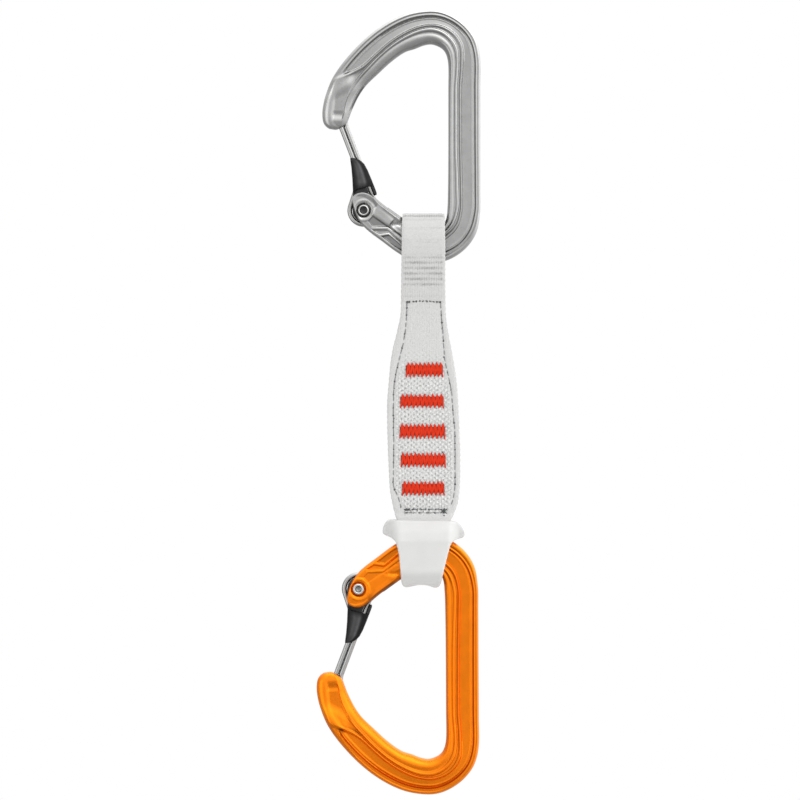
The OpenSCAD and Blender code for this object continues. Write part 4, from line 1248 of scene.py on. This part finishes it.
def make_stitching():
    edge, knots = [], []
    both_sides(BODY_LINE, 2.15, edge, knots, 20)
    ends = [(-12.95, -123.8, 0.3), (-12.95, -134.7, 0.28), (4.9, -112.6, 0.3), (6.3, -118.1, 0.3)]
    ends.append((4.4, -146.7, 0.32))
    for x, z, size in ends:
        tangle(x, z, size, size, 4, knots, int(300 - 7 * z), 0.14)
    finish_piece(build("edge_stitches", edge, grey_thread), "sling_body", "edge_thread", "edge_stitching")
    finish_piece(build("edge_knots", knots, dark_thread), "sling_body", "edge_thread")

    neck, knots = [], []
    both_sides(NECK_LINE, 2.0, neck, knots, 30)
    run_of_stitches(TOP_ROW, 1.75, 0.45, neck, knots, 0.22, 33)
    for x in (-8.3, -7.4, -6.0, -4.9, -3.7, -2.5, -1.2, 0.0, 1.2, 2.4, 3.7):
        z = -92.40 - 0.012 * (x + 2.3) ** 2
        tangle(x, z, 0.38, 0.42, 7, knots, int(200 + x * 10), 0.16, lift=0.06)
    neck = build("neck_stitches", neck, grey_thread)
    knots = build("neck_knots", knots, dark_thread)
    bend_at_neck(neck, "edge_thread", "upper_stitching")
    bend_at_neck(knots, "edge_thread")

    low, knots = [], []
    for k, z in enumerate((-167.35, -168.6)):
        run_of_stitches([(-9.7, z), (6.1, z)], 2.2, 0.55, low, knots, 0.17, 50 + k)
    for k, x in enumerate((-6.2, -3.3, -0.5, 2.0)):
        tangle(x, -167.35, 0.4, 0.34, 5, knots, 60 + k, 0.14)
        tangle(x - 0.4, -168.6, 0.6, 0.26, 5, knots, 70 + k, 0.14)
    tangle(-8.3, -167.35, 1.1, 0.45, 7, knots, 81)
    tangle(-8.9, -168.6, 0.7, 0.3, 4, knots, 82)
    tangle(5.2, -167.9, 1.4, 1.1, 8, knots, 83)
    tangle(5.0, -169.9, 0.5, 0.7, 6, knots, 84, lift=0.45)
    finish_piece(build("lower_stitches", low, grey_thread), "sling_body", "edge_thread", "lower_stitching")
    finish_piece(build("lower_knots", knots, dark_thread), "sling_body", "edge_thread")


# ---------------------------------------------------------------- keeper

KEEPER = [
    (-11.9, -171.2), (-13.7, -170.8), (-15.5, -171.2), (-16.7, -173.2), (-17.3, -175.4), (-16.8, -176.5),
    (-15.0, -176.8), (-13.2, -177.9), (-12.3, -178.7), (-11.2, -183.1), (-10.7, -188.8), (-10.4, -192.4),
    (-10.1, -194.6), (-9.3, -195.3), (-7.7, -195.1), (-4.2, -194.3), (-1.0, -194.4), (1.7, -195.5),
    (3.1, -195.3), (3.8, -194.2), (4.2, -192.4), (5.7, -185.9), (7.0, -180.9), (7.5, -179.2), (9.3, -177.9),
    (11.2, -177.7), (12.5, -177.2), (12.5, -175.4), (10.9, -172.6), (9.5, -171.7), (7.9, -171.5),
]
KEEPER_DEPTH = [
    (-196.0, 6.4), (-193.0, 7.9), (-190.0, 8.4), (-178.5, 8.4), (-175.0, 7.2), (-172.5, 5.2), (-170.5, 3.9),
]
KEEPER_HALF = 8.4


def keeper_cavity():
    """The space that the lower loop takes up in the keeper, a little wider than the tape."""
    gap = 0.03
    half = STACK + gap
    low = lower_bend(TAPE_T + gap, half, 40)
    front = [(-half, -166.0), (-half, SEWN_BOTTOM), *low]
    cavity = prism(front + [(-y, z) for y, z in reversed(front[:-1])], 40, axis="x")
    for vertex in cavity.data.vertices:
        z = vertex.co.z / MM
        vertex.co.x = (edge_at(z, 0) - 0.1 if vertex.co.x < 0 else edge_at(z, 1) + 0.1) * MM
    return cavity


def make_keeper():
    """The keeper's outline in depth, rounded by a remesh and smoothing, then cut by its cavity."""
    outline = soften(resample(KEEPER, 0.6, closed=True)[0], 3)
    keeper = prism([tuple(p) for p in outline], KEEPER_HALF)
    keeper.name = "keeper_moulded"
    remesh = keeper.modifiers.new("remesh", "REMESH")
    remesh.mode = "VOXEL"
    remesh.voxel_size = 0.45 * MM
    apply_modifiers(keeper)
    co = np.zeros(len(keeper.data.vertices) * 3)
    keeper.data.vertices.foreach_get("co", co)
    co = co.reshape(-1, 3) / MM
    ear = np.maximum(rise(-co[:, 0], 10.8, 15.5), rise(co[:, 0], 6.5, 11.5))
    co[:, 1] *= np.interp(co[:, 2], *zip(*KEEPER_DEPTH)) / KEEPER_HALF * (1 - 0.45 * ear)
    keeper.data.vertices.foreach_set("co", (co * MM).ravel())
    smooth = keeper.modifiers.new("smooth", "SMOOTH")
    smooth.factor, smooth.iterations = 0.5, 5
    apply_modifiers(keeper)
    cut(keeper, keeper_cavity())
    keeper.data.polygons.foreach_set("use_smooth", [True] * len(keeper.data.polygons))
    crisp(keeper, 45)
    repaint(keeper, clear_rubber)
    finish_piece(keeper, "sling_body", "keeper", "keeper")


make_frames()
make_gate("upper", "upper_gate", "upper_carabiner", Matrix.Identity(4), 1.34, deep_shade_steel)
make_gate("lower", "lower_gate", "lower_carabiner", LOWER_PLACE, 1.06, half_shade_steel)
make_tape()
make_core()
make_tacks()
make_stitching()
make_keeper()
